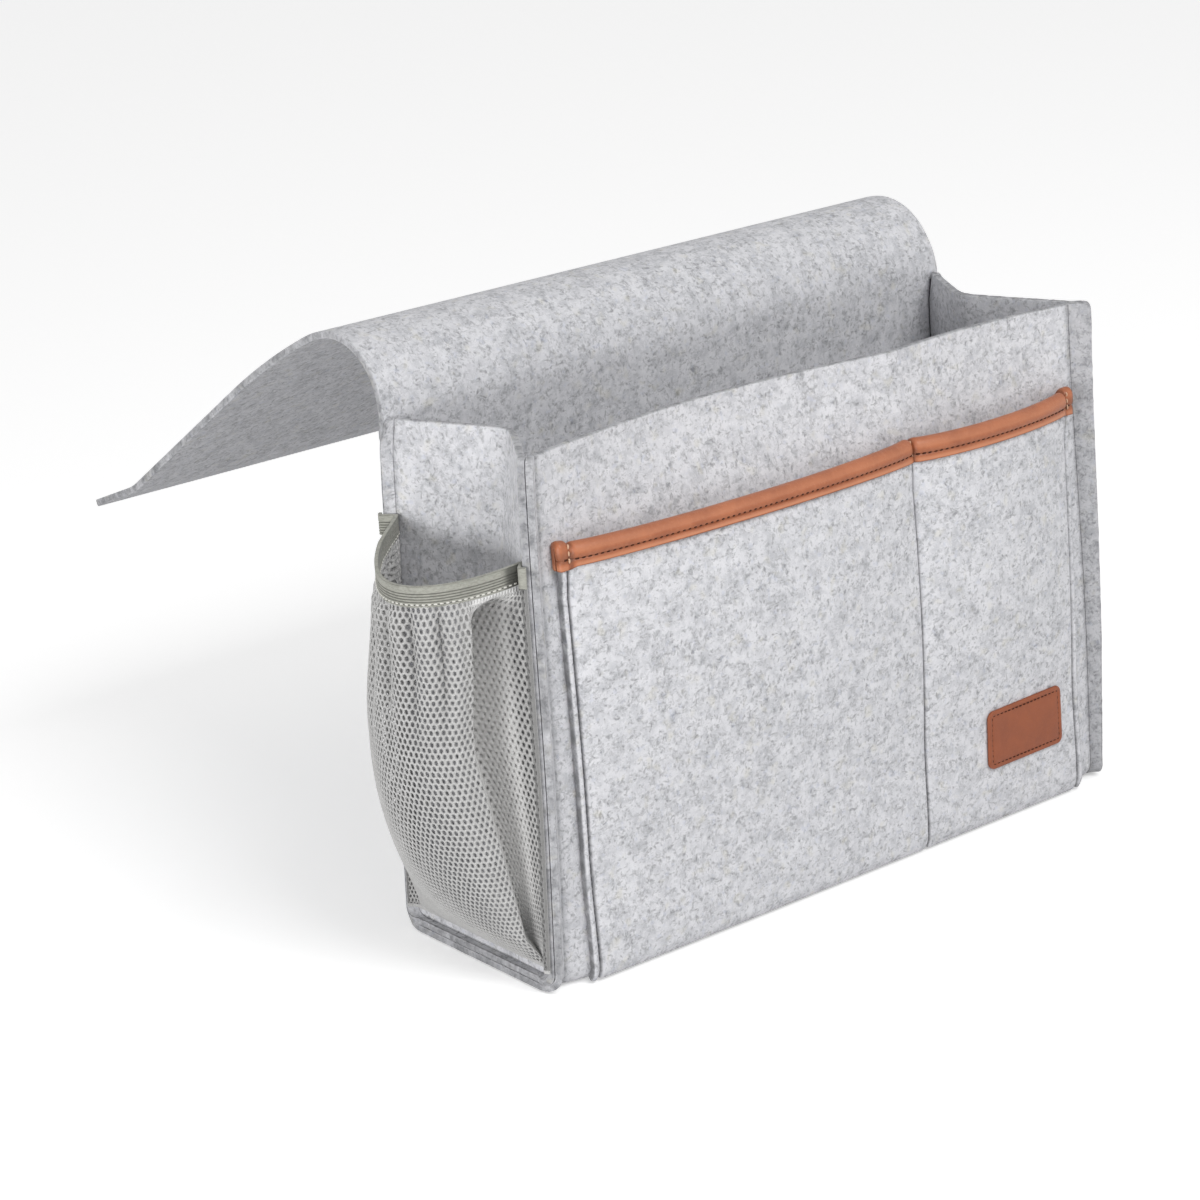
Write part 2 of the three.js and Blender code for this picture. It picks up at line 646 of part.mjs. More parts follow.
add('front_panel', frontPanel(), FELT_MATERIAL);
add('front_fold', frontFoldPiece(), FELT_MATERIAL);
add('base_panel', basePanel(), FELT_MATERIAL);
add('back_fold', backFoldPiece(), FELT_MATERIAL);
add('back_panel', backPanel(FLAP_RISE_TOP + pieceEnd(ROOT_FOLD)), FELT_MATERIAL);
add('gusset_left', gussetPanel(GUSSETS.left), FELT_MATERIAL);
add('gusset_right', gussetPanel(GUSSETS.right), FELT_MATERIAL);
add('pocket_panel', pocketPanel(), FELT_MATERIAL);
add('pocket_binding', pocketBinding(), LEATHER_MATERIAL);
add('leather_patch', leatherPatch(), LEATHER_MATERIAL);
add('mesh_pouch_left', meshPouch(GUSSETS.left), MESH_MATERIAL);
add('mesh_pouch_right', meshPouch(GUSSETS.right), MESH_MATERIAL);
add('elastic_left', elasticBand(GUSSETS.left), ELASTIC_MATERIAL);
add('elastic_right', elasticBand(GUSSETS.right), ELASTIC_MATERIAL);
add('flap_arch_front', flapPiece(ROOT_FOLD, pieceEnd(CROWN_FOLD)), FELT_MATERIAL);
add('flap_arch_rear', flapPiece(CROWN_FOLD, pieceEnd(SLOPE_FOLD)), FELT_MATERIAL);
add('flap_slope', flapPiece(SLOPE_FOLD, pieceEnd(TONGUE_FOLD)), FELT_MATERIAL);
add('flap_tongue', flapPiece(TONGUE_FOLD, FLAP_LENGTH, TONGUE_CORNER), FELT_MATERIAL);

export default organizer;
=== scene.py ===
import math
import bpy
import numpy as np
from mathutils import Matrix


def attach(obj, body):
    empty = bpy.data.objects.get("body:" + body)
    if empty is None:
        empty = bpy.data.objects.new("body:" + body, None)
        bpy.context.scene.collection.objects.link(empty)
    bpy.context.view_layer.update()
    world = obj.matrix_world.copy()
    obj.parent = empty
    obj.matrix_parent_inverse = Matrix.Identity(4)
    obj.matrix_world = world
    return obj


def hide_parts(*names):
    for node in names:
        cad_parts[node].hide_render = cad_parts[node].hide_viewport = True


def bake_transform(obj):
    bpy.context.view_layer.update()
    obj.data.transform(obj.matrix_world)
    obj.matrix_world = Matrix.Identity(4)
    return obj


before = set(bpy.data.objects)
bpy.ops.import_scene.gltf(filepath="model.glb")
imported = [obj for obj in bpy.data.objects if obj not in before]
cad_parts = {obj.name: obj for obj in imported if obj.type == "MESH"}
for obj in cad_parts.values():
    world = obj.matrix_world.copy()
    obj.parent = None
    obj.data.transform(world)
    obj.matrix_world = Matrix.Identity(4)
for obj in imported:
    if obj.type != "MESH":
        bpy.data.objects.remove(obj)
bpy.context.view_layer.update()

RNG = np.random.default_rng(7)

# Sizes in millimetres, the same as the solids' unless a heading says that they are the visual model's alone
FELT = 3.2
GAP = 0.3
HALF_FELT = FELT / 2
LAYER_STEP = FELT + GAP

# Body, measured between the middles of its felt walls
HALF_WIDTH_BASE = 163.0
HALF_WIDTH_TOP = 157.0
DEPTH = 97.0
HEIGHT = 231.0
FRONT_LEAN = 5.0
LEAN_START = 60.0
FRONT_FOLD_RADIUS = 6.5
BACK_FOLD_RADIUS = 8.0
BASE_MIDDLE_Z = HALF_FELT
BACK_Y = DEPTH / 2
FRONT_Y = -DEPTH / 2
FRONT_FOLD_TOP = BASE_MIDDLE_Z + FRONT_FOLD_RADIUS

# Seams: gusset and sheet edges turned outward together
SEAM_WIDTH = 4.8
SEAM_WIDTH_RIGHT_FOOT = 4.1
SEAM_WIDTH_RIGHT_TOP = 9.0
SEAM_ANGLE = math.pi / 4
SEAM_INSET = 3.7
SHEET_TURN = 1.6
GUSSET_TURN_RADIUS = 1.8
SEAM_TOP_ROUNDING = 4.0
SEAM_OPENING_HEIGHT = 16.0
SEAM_TWIST_ROOM = 0.25

# How the soft front hangs
BOW_LEFT = 11.0
BOW_RIGHT = 4.0
BOW_AT_DIVIDER = 3.0
BOW_START = 160.0
BELLY = 4.0
FOOT_BULGE = 3.5
FOOT_BULGE_HEIGHT = 60.0
FOOT_BULGE_START = 20.0

# Gusset folds and side pockets
GUSSETS = {
    "left": dict(side=-1, depth=21.0, crease=-5.0, reach=43.5, pleated=True, wraps=True),
    "right": dict(side=1, depth=19.0, crease=6.0, reach=27.0, pleated=False, wraps=False),
}
CREASE_ROUNDING = 5.0
FOLD_GROWTH = 1.3

# Front pockets: one felt panel sewn at both ends, at the divider and along the base
POCKET_LEFT = -148.0
POCKET_RIGHT = 147.0
POCKET_DIVIDER = 46.5
POCKET_TOP = 191.7
POCKET_WRAP = math.radians(40)
POCKET_SEAM_INSET = 3.5
POCKET_BULGE = 8.5
POCKET_BULGE_AT_BASE = 1.5

# Leather
LEATHER = 1.2
BINDING_HEIGHT = 13.0
BINDING_OVERHANG = 0.6
PATCH_WIDTH = 49.0
PATCH_HEIGHT = 28.0
PATCH_CENTRE_X = 107.5
PATCH_CENTRE_Z = 43.0
PATCH_THICKNESS = 1.5

# Mesh side pockets
MESH = 1.0
MESH_TOP = 177.5
MESH_BOTTOM = 11.0
SWELL_HEIGHT = 95.0
LOOP_INSET = 4.5
WRAP_LENGTH = 4.0
EDGE_INSET = 1.0
HUG_REACH = 20.0
ELASTIC = 1.6
ELASTIC_HEIGHT = 9.2
RIM_SAG = 5.0
RIM_RISE = 2.5

# Flap, with bends as [radius, degrees]
FLAP_RISE_TOP = HEIGHT - 2
FLAP_BENDS = [(32.0, -98.0), (56.0, -17.0), (470.0, -8.8)]
FLAP_SLOPE_LENGTH = 110.0
TONGUE_BEND = (40.0, 12.5)
TONGUE_LENGTH = 38.0
TONGUE_CORNER = 6.0
FLAP_OUTREACH = 4.0
FLAP_SPLITS = [2.0, 21.0, 58.0, 170.0]

# Cut felt edges, the grooves beside the seams and the painted shade in and beside them, in the visual model
# alone
EDGE_ROUNDING = 0.55
EDGE_ROUGHNESS = 0.06
# Cut edges are painted darker: partly the felt's darker cut tone, partly painted shade
RAW_EDGE_TONE_AND_SHADE = 0.55
POCKET_RAW_EDGE_TONE_AND_SHADE = 0.9
GROOVE_AT = 0.4
GROOVE_SPREAD = 0.42
# Painted shade on the seams' flanges, more on the right front flange
FLANGE_SHADE = 0.2
FLANGE_SHADE_RIGHT = 0.42
FLANGE_SHADE_GUSSET = 0.3

# How the mouth of the front pockets hangs and how the leather is sewn, in the visual model alone
MOUTH_DROP = 1.4
MOUTH_SAG_LEFT = 2.2
MOUTH_SAG_RIGHT = 0.9
MOUTH_SETTLING = 10.0
BINDING_FOOT_RISE = 1.3
BINDING_PUFF = 1.05
BINDING_ROUNDING = 0.35
BINDING_CUT_SOIL = 0.5
END_STITCH_INSET = 4.4
PATCH_CORNER = 3.5
PATCH_DOME = 0.08
PATCH_STITCH_INSET = 2.3

# Net and band, in the visual model alone
PLEAT_GROWTH = 14.0
PLEAT_DEPTH = 36.0
PLEAT_FRONT_SHARE = 0.3
CREST_AT_TOP = (24.5, 2.0)
CREST_BELOW = (22.5, 9.7)
CREST_LENGTH = 65.0
GATHER = 3.0
GATHERS = 8
GATHER_LENGTH = 80.0
SPLINE_POINTS = 24
PLAN_POINTS = 400
LOOP_POINTS = 260
WRAP_POINTS = 14
NET_ROWS = 150
NET_HALF = 0.36
NET_CLEAR = HALF_FELT + GAP + MESH / 2
HOLE_PITCH = 2.95
ROW_PITCH = 2.65
HOLE_HALF = (0.6, 0.92)
HEM_HALF = 0.42
HEM_ROUNDING = 0.15
# Painted shade on the net's hems, which lie in the seams' gaps
HEM_SHADE = 0.7
BAND_CLEAR = HALF_FELT + GAP + ELASTIC / 2
BAND_POINTS = 150
BAND_LEVELS = 57
BAND_STITCH_LEVEL = 8
RIBS = 8
RIB_DEPTH = 0.42

# Stitches as [pitch, length], and the thread's radius
ROW_STITCH = (2.95, 2.15)
TAB_STITCH = (2.4, 1.9)
END_STITCH = (2.9, 2.2)
PATCH_STITCH = (2.5, 1.7)
SEAM_STITCH = (3.0, 2.6)
BAND_STITCH = (2.5, 1.7)
ROW_THREAD = 0.52
END_THREAD = 0.42
PATCH_THREAD = 0.3
SEAM_THREAD = 0.3
BAND_THREAD = 0.36


def lerp(a, b, t):
    return a + (b - a) * t


def clamp01(t):
    return np.clip(t, 0.0, 1.0)


def ease(t):
    t = clamp01(t)
    return t * t * (3 - 2 * t)


def arc_run(length, turn, heading=0.0):
    half = turn / 2
    chord = length if abs(half) < 1e-9 else length * math.sin(half) / half
    return chord * math.cos(heading + half), chord * math.sin(heading + half)


def half_width(z):
    return lerp(HALF_WIDTH_BASE, HALF_WIDTH_TOP, z / HEIGHT)


def front_corner_y(z):
    return FRONT_Y + FRONT_LEAN * ease((z - LEAN_START) / (HEIGHT - LEAN_START))


def foot_bulge(x, z):
    inside = half_width(z) - SEAM_INSET - np.abs(x)
    across = np.sin(math.pi / 2 * clamp01(inside / FOOT_BULGE_START))
    return FOOT_BULGE * across * (1 - ease(z / FOOT_BULGE_HEIGHT))


def front_y(x, z):
    """The front hangs with a belly low down and a bow to the inside along its top edge."""
    x = np.asarray(x, float)
    reach = half_width(z) - SEAM_INSET
    inside = clamp01((reach - np.abs(x)) / reach)
    belly = BELLY * np.sin(math.pi * clamp01(z / HEIGHT)) * np.sin(inside * math.pi / 2)
    left = x < POCKET_DIVIDER
    start = np.where(left, -reach, POCKET_DIVIDER)
    end = np.where(left, POCKET_DIVIDER, reach)
    share = clamp01((x - start) / (end - start))
    pulled = BOW_AT_DIVIDER * np.where(left, share, 1 - share)
    bow = pulled + np.where(left, BOW_LEFT, BOW_RIGHT) * np.sin(math.pi * share)
    return front_corner_y(z) - foot_bulge(x, z) - belly + bow * ease((z - BOW_START) / (HEIGHT - BOW_START))


# Stations down the front, round the base and up the back
def station(y, z, out_y, out_z, angle, rounded=False):
    return dict(y=y, z=z, out_y=out_y, out_z=out_z, angle=angle, rounded=rounded)


def front_station(z):
    return station(front_corner_y(z), z, -1, 0, SEAM_ANGLE, True)


def back_station(z, rounded=False):
    opening = ease((z - (HEIGHT - SEAM_OPENING_HEIGHT)) / SEAM_OPENING_HEIGHT)
    return station(BACK_Y, z, 1, 0, SEAM_ANGLE * (1 - opening), rounded)


def base_station(y):
    return station(y, BASE_MIDDLE_Z, 0, -1, 0)


# The two folds as [centre, radius], and the turns at which they meet the walls and the base
FRONT_FOLD = (FRONT_Y + FRONT_FOLD_RADIUS, FRONT_FOLD_RADIUS)
BACK_FOLD = (BACK_Y - BACK_FOLD_RADIUS, BACK_FOLD_RADIUS)
AT_FRONT, AT_BASE, AT_BACK = -math.pi, -math.pi / 2, 0.0


def fold_stations(fold, start, end, count):
    centre_y, radius = fold
    out = []
    for turn in np.linspace(start, end, count + 1):
        share = abs(turn - AT_BASE) / (math.pi / 2)
        angle = SEAM_ANGLE * float(ease(share ** 1.3))
        oy, oz = math.cos(turn), math.sin(turn)
        out.append(station(centre_y + radius * oy, BASE_MIDDLE_Z + radius + radius * oz, oy, oz, angle))
    return out


def seam_width(side, at):
    widening = lerp(SEAM_WIDTH_RIGHT_FOOT, SEAM_WIDTH_RIGHT_TOP, float(clamp01(at["z"] / HEIGHT)))
    full = widening if side > 0 and at["out_y"] < 0 else SEAM_WIDTH
    if not at["rounded"]:
        return full
    above = float(clamp01((at["z"] - (HEIGHT - SEAM_TOP_ROUNDING)) / SEAM_TOP_ROUNDING))
    return full - SEAM_TOP_ROUNDING * (1 - math.sqrt(1 - above * above)) * 0.8


# Points round a seam's turn, and steps along its straight part, closer together at the raw edge
TURN_POINTS = 7
SEAM_STEPS = (0.3, 0.55, 0.8, 0.93, 1.0)


def sheet_edge(angle, width):
    """Steps from the sheet round its turn and out along the seam, as [past the side, outward]."""
    turn = []
    for share in np.linspace(0, 1, TURN_POINTS):
        n, out = arc_run(SHEET_TURN * share, angle * share)
        turn.append((n - SEAM_INSET, out))
    n, out = turn[-1]
    c, s = math.cos(angle), math.sin(angle)
    rest = width - n * c - out * s
    return turn + [(n + rest * c * k, out + rest * s * k) for k in SEAM_STEPS]


def gusset_edge(angle, width):
    """The same for the gusset, whose edge lies one layer inside the sheet's."""
    c, s = math.cos(angle), math.sin(angle)
    start = sheet_edge(angle, width)[TURN_POINTS - 1]
    step = LAYER_STEP + SEAM_TWIST_ROOM * math.sin(angle * math.pi / SEAM_ANGLE)
    n = start[0] + step * s
    out = start[1] - step * c
    corner = out - n * math.tan(angle)
    bend = math.pi / 2 - angle
    tangent = GUSSET_TURN_RADIUS * math.tan(bend / 2)
    turn = [
        (GUSSET_TURN_RADIUS * (1 - math.cos(t)), corner - tangent + GUSSET_TURN_RADIUS * math.sin(t))
        for t in np.linspace(0, bend, TURN_POINTS)
    ]
    n, out = turn[-1]
    rest = width - n * c - out * s
    return turn + [(n + rest * c * k, out + rest * s * k) for k in SEAM_STEPS]


def edge_point(side, at, step):
    n, out = step
    return (side * (half_width(at["z"]) + n), at["y"] + at["out_y"] * out, at["z"] + at["out_z"] * out)


# Materials
def fill(made, **values):
    """Set inputs by their names, with _ for each space."""
    for key, value in values.items():
        made.inputs[key.replace("_", " ")].default_value = value
    return made


def material(name, **values):
    mat = bpy.data.materials.new(name)
    mat.use_nodes = True
    return mat, mat.node_tree, fill(mat.node_tree.nodes["Principled BSDF"], **values)


def node(tree, kind, **settings):
    made = tree.nodes.new(kind)
    for key, value in settings.items():
        setattr(made, key, value)
    return made


def put(tree, source, target):
    tree.links.new(source, target)


def coordinates(tree, scale=(1, 1, 1), turn=(0, 0, 0)):
    mapping = fill(node(tree, "ShaderNodeMapping"), Scale=scale, Rotation=turn)
    put(tree, node(tree, "ShaderNodeTexCoord").outputs["Object"], mapping.inputs["Vector"])
    return mapping.outputs["Vector"]


def noise(tree, vector, scale, detail, rough, distortion=0.0):
    made = fill(node(tree, "ShaderNodeTexNoise"), Scale=scale, Detail=detail, Roughness=rough,
                Distortion=distortion)
    put(tree, vector, made.inputs["Vector"])
    return made.outputs["Fac"]


def span(tree, value, low, high, to_low=0.0, to_high=1.0):
    made = fill(node(tree, "ShaderNodeMapRange"), From_Min=low, From_Max=high, To_Min=to_low, To_Max=to_high)
    put(tree, value, made.inputs["Value"])
    return made.outputs["Result"]


def maths(tree, operation, a, b):
    made = node(tree, "ShaderNodeMath", operation=operation)
    for socket, value in zip(made.inputs, (a, b)):
        if isinstance(value, (int, float)):
            socket.default_value = value
        else:
            put(tree, value, socket)
    return made.outputs[0]


def blend_colour(tree, factor, a, b):
    made = node(tree, "ShaderNodeMix", data_type="RGBA", blend_type="MIX")
    put(tree, factor, made.inputs[0])
    for socket, value in ((made.inputs[6], a), (made.inputs[7], b)):
        if isinstance(value, tuple):
            socket.default_value = (*value, 1)
        else:
            put(tree, value, socket)
    return made.outputs[2]


def tinted(tree, colour, value, low, high, amount, other):
    """The colour turns to another one by up to the amount, while a value goes from low to high."""
    return blend_colour(tree, span(tree, value, low, high, 0, amount), colour, other)


def bump(tree, shader, height, strength, distance):
    made = fill(node(tree, "ShaderNodeBump"), Strength=strength, Distance=distance)
    put(tree, height, made.inputs["Height"])
    put(tree, made.outputs["Normal"], shader.inputs["Normal"])


def painted_light_and_tone_attribute(tree):
    """How dark or pale a place is painted, 0 plain and 1 the darkest: painted shade in grooves, creases,
    gaps and on shaded faces, and the darker tone of cut edges; less than 0 is paler, for painted highlights,
    painted light and pale strips.
    """
    return node(tree, "ShaderNodeAttribute", attribute_name="painted_light_and_tone").outputs["Fac"]


STREAK_TURNS = ((1.1, 0.3, 0.2), (0.1, 0.6, 1.2), (0.7, 1.3, 0.4))


def crossed_noise(tree, scale, detail, stretch, distortion):
    """Short streaks in three directions."""
    total = None
    for k, turn in enumerate(STREAK_TURNS):
        scales = tuple(1.0 if axis == k else stretch for axis in range(3))
        streak = noise(tree, coordinates(tree, scales, turn), scale, detail, 0.6, distortion)
        total = streak if total is None else maths(tree, "MAXIMUM", total, streak)
    return total


def times(colour, factor):
    return tuple(min(1, c * factor) for c in colour)


def felt_material(name, base, dark, light):
    mat, tree, shader = material(
        name, Roughness=0.96, Sheen_Weight=0.1, Sheen_Roughness=0.6, Specular_IOR_Level=0.2)
    plain = coordinates(tree)
    painted_light_and_tone = painted_light_and_tone_attribute(tree)
    mottle = noise(tree, plain, 190, 3, 0.6, 0.5)
    colour = blend_colour(tree, span(tree, mottle, 0.36, 0.6), dark, base)
    patches = noise(tree, plain, 90, 2, 0.5, 0.3)
    colour = tinted(tree, colour, patches, 0.42, 0.7, 0.4, light)
    fibres = crossed_noise(tree, 1400, 1, 0.3, 0.8)
    colour = tinted(tree, colour, fibres, 0.6, 0.72, 0.5, light)
    flecks = crossed_noise(tree, 560, 2, 0.65, 0.4)
    crowd = noise(tree, plain, 120, 2, 0.5, 0.2)
    flecks = maths(tree, "ADD", flecks, maths(tree, "MULTIPLY", crowd, 0.16))
    # Where painted shade or a darker cut edge lies, more dark flecks and a darker colour
    flecks = maths(tree, "ADD", flecks, maths(tree, "MULTIPLY", painted_light_and_tone, 0.07))
    colour = tinted(tree, colour, flecks, 0.64, 0.84, 0.72, times(dark, 0.38))
    tint = noise(tree, plain, 300, 1, 0.5)
    colour = tinted(tree, colour, tint, 0.64, 0.74, 0.16, (0.40, 0.45, 0.62))
    warm = noise(tree, coordinates(tree, (1, 1, 1), (0.4, 0.2, 0.9)), 170, 1, 0.5)
    colour = tinted(tree, colour, warm, 0.62, 0.76, 0.2, (0.62, 0.58, 0.42))
    colour = tinted(tree, colour, painted_light_and_tone, 0, 1, 0.85, times(dark, 0.22))
    put(tree, colour, shader.inputs["Base Color"])
    fuzz = noise(tree, plain, 1500, 3, 0.7, 0.5)
    lumps = noise(tree, plain, 330, 2, 0.5, 0.4)
    height = maths(tree, "ADD", maths(tree, "MULTIPLY", fuzz, 0.5), maths(tree, "MULTIPLY", lumps, 0.8))
    bump(tree, shader, height, 0.55, 0.0005)
    return mat


def leather_material(name, base, dark, light, gloss):
    mat, tree, shader = material(name, Specular_IOR_Level=0.45)
    plain = coordinates(tree)
    painted_light_and_tone = painted_light_and_tone_attribute(tree)
    broad = noise(tree, plain, 70, 3, 0.6, 0.4)
    colour = blend_colour(tree, span(tree, broad, 0.35, 0.65), dark, base)
    fine = noise(tree, plain, 650, 3, 0.6)
    colour = tinted(tree, colour, fine, 0.5, 0.8, 0.3, light)
    # Paler for painted highlights and the pale strip, darker for painted shade and darker cut edges
    colour = tinted(tree, colour, painted_light_and_tone, 0, -1, 1, light)
    colour = tinted(tree, colour, painted_light_and_tone, 0, 1, 0.9, times(dark, 0.2))
    put(tree, colour, shader.inputs["Base Color"])
    put(tree, span(tree, broad, 0.3, 0.7, *gloss), shader.inputs["Roughness"])
    pores = fill(node(tree, "ShaderNodeTexVoronoi", feature="DISTANCE_TO_EDGE"), Scale=1300)
    put(tree, plain, pores.inputs["Vector"])
    cells = span(tree, pores.outputs["Distance"], 0, 0.12)
    grain = maths(tree, "ADD", cells, maths(tree, "MULTIPLY", fine, 0.6))
    bump(tree, shader, grain, 0.22, 0.0002)
    return mat


def cloth_material(name, base, dark, scale, strength, stretch=(1, 1, 1), roughness=0.85, sheen=0.12):
    mat, tree, shader = material(name, Roughness=roughness, Sheen_Weight=sheen, Specular_IOR_Level=0.3)
    yarn = noise(tree, coordinates(tree, stretch), scale, 2, 0.6, 0.3)
    broad = noise(tree, coordinates(tree), 120, 2, 0.5)
    colour = blend_colour(tree, span(tree, yarn, 0.38, 0.62), dark, base)
    colour = tinted(tree, colour, broad, 0.4, 0.7, 0.3, times(base, 1.15))
    painted_light_and_tone = painted_light_and_tone_attribute(tree)
    # Paler for painted light, darker for painted shade in creases, ribs, folds and gaps
    colour = tinted(tree, colour, painted_light_and_tone, 0, -1, 1, times(base, 1.5))
    colour = tinted(tree, colour, painted_light_and_tone, 0, 1, 0.9, times(dark, 0.16))
    put(tree, colour, shader.inputs["Base Color"])
    bump(tree, shader, yarn, strength, 0.0003)
    return mat


FELT_MAT = felt_material("felt", (0.64, 0.64, 0.665), (0.485, 0.49, 0.515), (0.75, 0.75, 0.775))
BINDING_MAT = leather_material(
    "leather_binding", (0.425, 0.138, 0.058), (0.335, 0.10, 0.040), (0.56, 0.235, 0.123), (0.3, 0.42))
PATCH_MAT = leather_material(
    "leather_patch_hide", (0.283, 0.076, 0.028), (0.233, 0.060, 0.0215), (0.35, 0.103, 0.040), (0.5, 0.6))
NET_MAT = cloth_material("net_yarn", (0.50, 0.497, 0.492), (0.39, 0.387, 0.382), 1800, 0.4)
ELASTIC_MAT = cloth_material(
    "elastic_rib", (0.35, 0.35, 0.31), (0.26, 0.26, 0.23), 1500, 0.5, stretch=(0.35, 0.35, 1.0))


def thread_material(name, base, dark, roughness, sheen=0.12):
    return cloth_material(name, base, dark, 3000, 0.3, roughness=roughness, sheen=sheen)


THREADS = {
    "brown": thread_material("thread_brown", (0.055, 0.014, 0.006), (0.035, 0.009, 0.004), 0.8, 0.0),
    "pale": thread_material("thread_pale", (0.62, 0.40, 0.27), (0.50, 0.29, 0.18), 0.6),
    "grey": thread_material("thread_grey", (0.68, 0.67, 0.63), (0.55, 0.54, 0.50), 0.6),
    # Dark grey thread, so dark that it paints the shade of the grooves and gaps that it lies in
    "dark": thread_material("thread_dark_grey_groove_shade", (0.10, 0.10, 0.11), (0.07, 0.07, 0.08), 0.7),
}


def linked(name, data):
    obj = bpy.data.objects.new(name, data)
    bpy.context.scene.collection.objects.link(obj)
    return obj


# Meshes, with their points in millimetres
def make_object(name, points, faces, mat, normals, painted_light_and_tone):
    mesh = bpy.data.meshes.new(name)
    mesh.from_pydata((np.asarray(points) * 0.001).tolist(), [], faces)
    mesh.update()
    mesh.polygons.foreach_set("use_smooth", [True] * len(mesh.polygons))
    if normals is not None:
        mesh.normals_split_custom_set_from_vertices(np.asarray(normals).tolist())
    if painted_light_and_tone is not None:
        kept = mesh.attributes.new("painted_light_and_tone", "FLOAT", "POINT")
        kept.data.foreach_set("value", np.asarray(painted_light_and_tone, np.float32))
    mesh.materials.append(mat)
    return linked(name, mesh)


def unit(v):
    size = np.linalg.norm(v, axis=-1, keepdims=True)
    return v / np.where(size < 1e-9, 1, size)


def quad_normals(points, quads):
    a, b, c, d = (points[quads[:, k]] for k in range(4))
    face = np.cross(c - a, d - b)
    normals = np.zeros_like(points)
    for k in range(4):
        np.add.at(normals, quads[:, k], face)
    return unit(normals)


def grid_quads(rows, columns, flip=False):
    r, c = np.meshgrid(np.arange(rows - 1), np.arange(columns - 1), indexing="ij")
    corner = (r * columns + c).ravel()
    quads = np.stack([corner, corner + 1, corner + columns + 1, corner + columns], axis=1)
    return quads[:, ::-1] if flip else quads


# Edge roundings as [how far in, share of the half thickness]
RAW_EDGE = ((1.0, 1.0), (0.6, 0.97), (0.22, 0.8), (0.0, 0.45), (0.0, 0.0))


def thicken(points, quads, above, below, rounding, rim_jitter, painted_light_and_tone, raw=0.0, under=0.0):
    """A sheet of quads gets a top and a bottom skin and a rounded rim round its whole outline.

    Gives the points, the faces and how dark or pale each point is painted: the skins as told, the rim darker
    by raw for a cut edge's darker tone, which on the felt is partly painted shade.
    """
    points = np.asarray(points, float)
    quads = np.asarray(quads)
    count = len(points)
    above = np.broadcast_to(above, count).astype(float)
    below = np.broadcast_to(below, count).astype(float)
    normals = quad_normals(points, quads)
    directed = {}
    for quad in quads.tolist():
        for k in range(4):
            a, b = quad[k], quad[(k + 1) % 4]
            if (b, a) in directed:
                del directed[(b, a)]
            else:
                directed[(a, b)] = True
    edges = np.array(list(directed))
    outward = np.zeros_like(points)
    along = unit(points[edges[:, 1]] - points[edges[:, 0]])
    for k in range(2):
        side = unit(np.cross(along, normals[edges[:, k]]))
        np.add.at(outward, edges[:, k], side)
    outward = unit(outward)
    rim = np.unique(edges)
    number = {v: i for i, v in enumerate(rim.tolist())}
    levels = []
    painted_light_and_tone_by_point = [np.broadcast_to(painted_light_and_tone, count), np.full(count, under)]
    half = (above[rim] + below[rim])[:, None] / 2
    middle = points[rim] + normals[rim] * ((above[rim] - below[rim])[:, None] / 2)
    jitter = RNG.normal(0, 1, (len(rim), 1)) * rim_jitter
    profile = [*RAW_EDGE[1:], *[(i, -h) for i, h in RAW_EDGE[-2:0:-1]]]
    for inward, height in profile:
        reach = outward[rim] * (jitter * (1 - inward) - inward * rounding)
        levels.append(middle + reach + normals[rim] * half * height)
        patchy = 1 + 0.25 * np.clip(jitter[:, 0] / max(rim_jitter, 1e-6), -1.5, 1.5)
        painted_light_and_tone_by_point.append(raw * (1 - 0.8 * inward) * patchy)
    pulled = np.zeros((count, 1))
    pulled[rim] = -rounding
    top = points + normals * above[:, None] + outward * pulled
    bottom = points - normals * below[:, None] + outward * pulled
    verts = np.concatenate([top, bottom, *levels])
    faces = quads.tolist() + (quads[:, ::-1] + count).tolist()
    between = [2 * count + k * len(rim) + np.arange(len(rim)) for k in range(len(levels))]
    rings = [rim, *between, rim + count]
    for a, b in edges.tolist():
        i, j = number[a], number[b]
        for upper, lower in zip(rings[:-1], rings[1:]):
            faces.append([int(upper[j]), int(upper[i]), int(lower[i]), int(lower[j])])
    return verts, faces, np.concatenate(painted_light_and_tone_by_point)


def smooth_normals(verts, faces):
    quads = np.array([f if len(f) == 4 else [*f, f[-1]] for f in faces])
    return quad_normals(np.asarray(verts), quads)


def caddy_piece(name, skin, mat, smooth=True):
    """A piece that rides on the caddy, from its points, faces and painted light and tone."""
    verts, faces, painted_light_and_tone = skin
    obj = make_object(name, verts, faces, mat, smooth_normals(verts, faces) if smooth else None, painted_light_and_tone)
    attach(obj, "caddy")
    return obj


def grid_points(grid):
    return grid.reshape(-1, 3)


# The long felt sheet: front, base, back and flap
NEAR_SEAM = (0.5, 1.3)
# Painted shade just inside the seams' turns
NEAR_SEAM_SHADE = (0.5, 0.2)
FRONT_COLUMNS = 110
TOP_HEIGHTS = [HEIGHT - down for down in (0, 0.5, 1.4, 2.8, 5)]
TONGUE_EDGE = (6, 4.4, 3, 1.8, 0.8, 0.25, 0)


def groove(share):
    """Depth of the groove beside a seam, and of the painted shade in it, at a share of the way through its
    turn.
    """
    return np.exp(-((np.asarray(share, float) - GROOVE_AT) / GROOVE_SPREAD) ** 2)


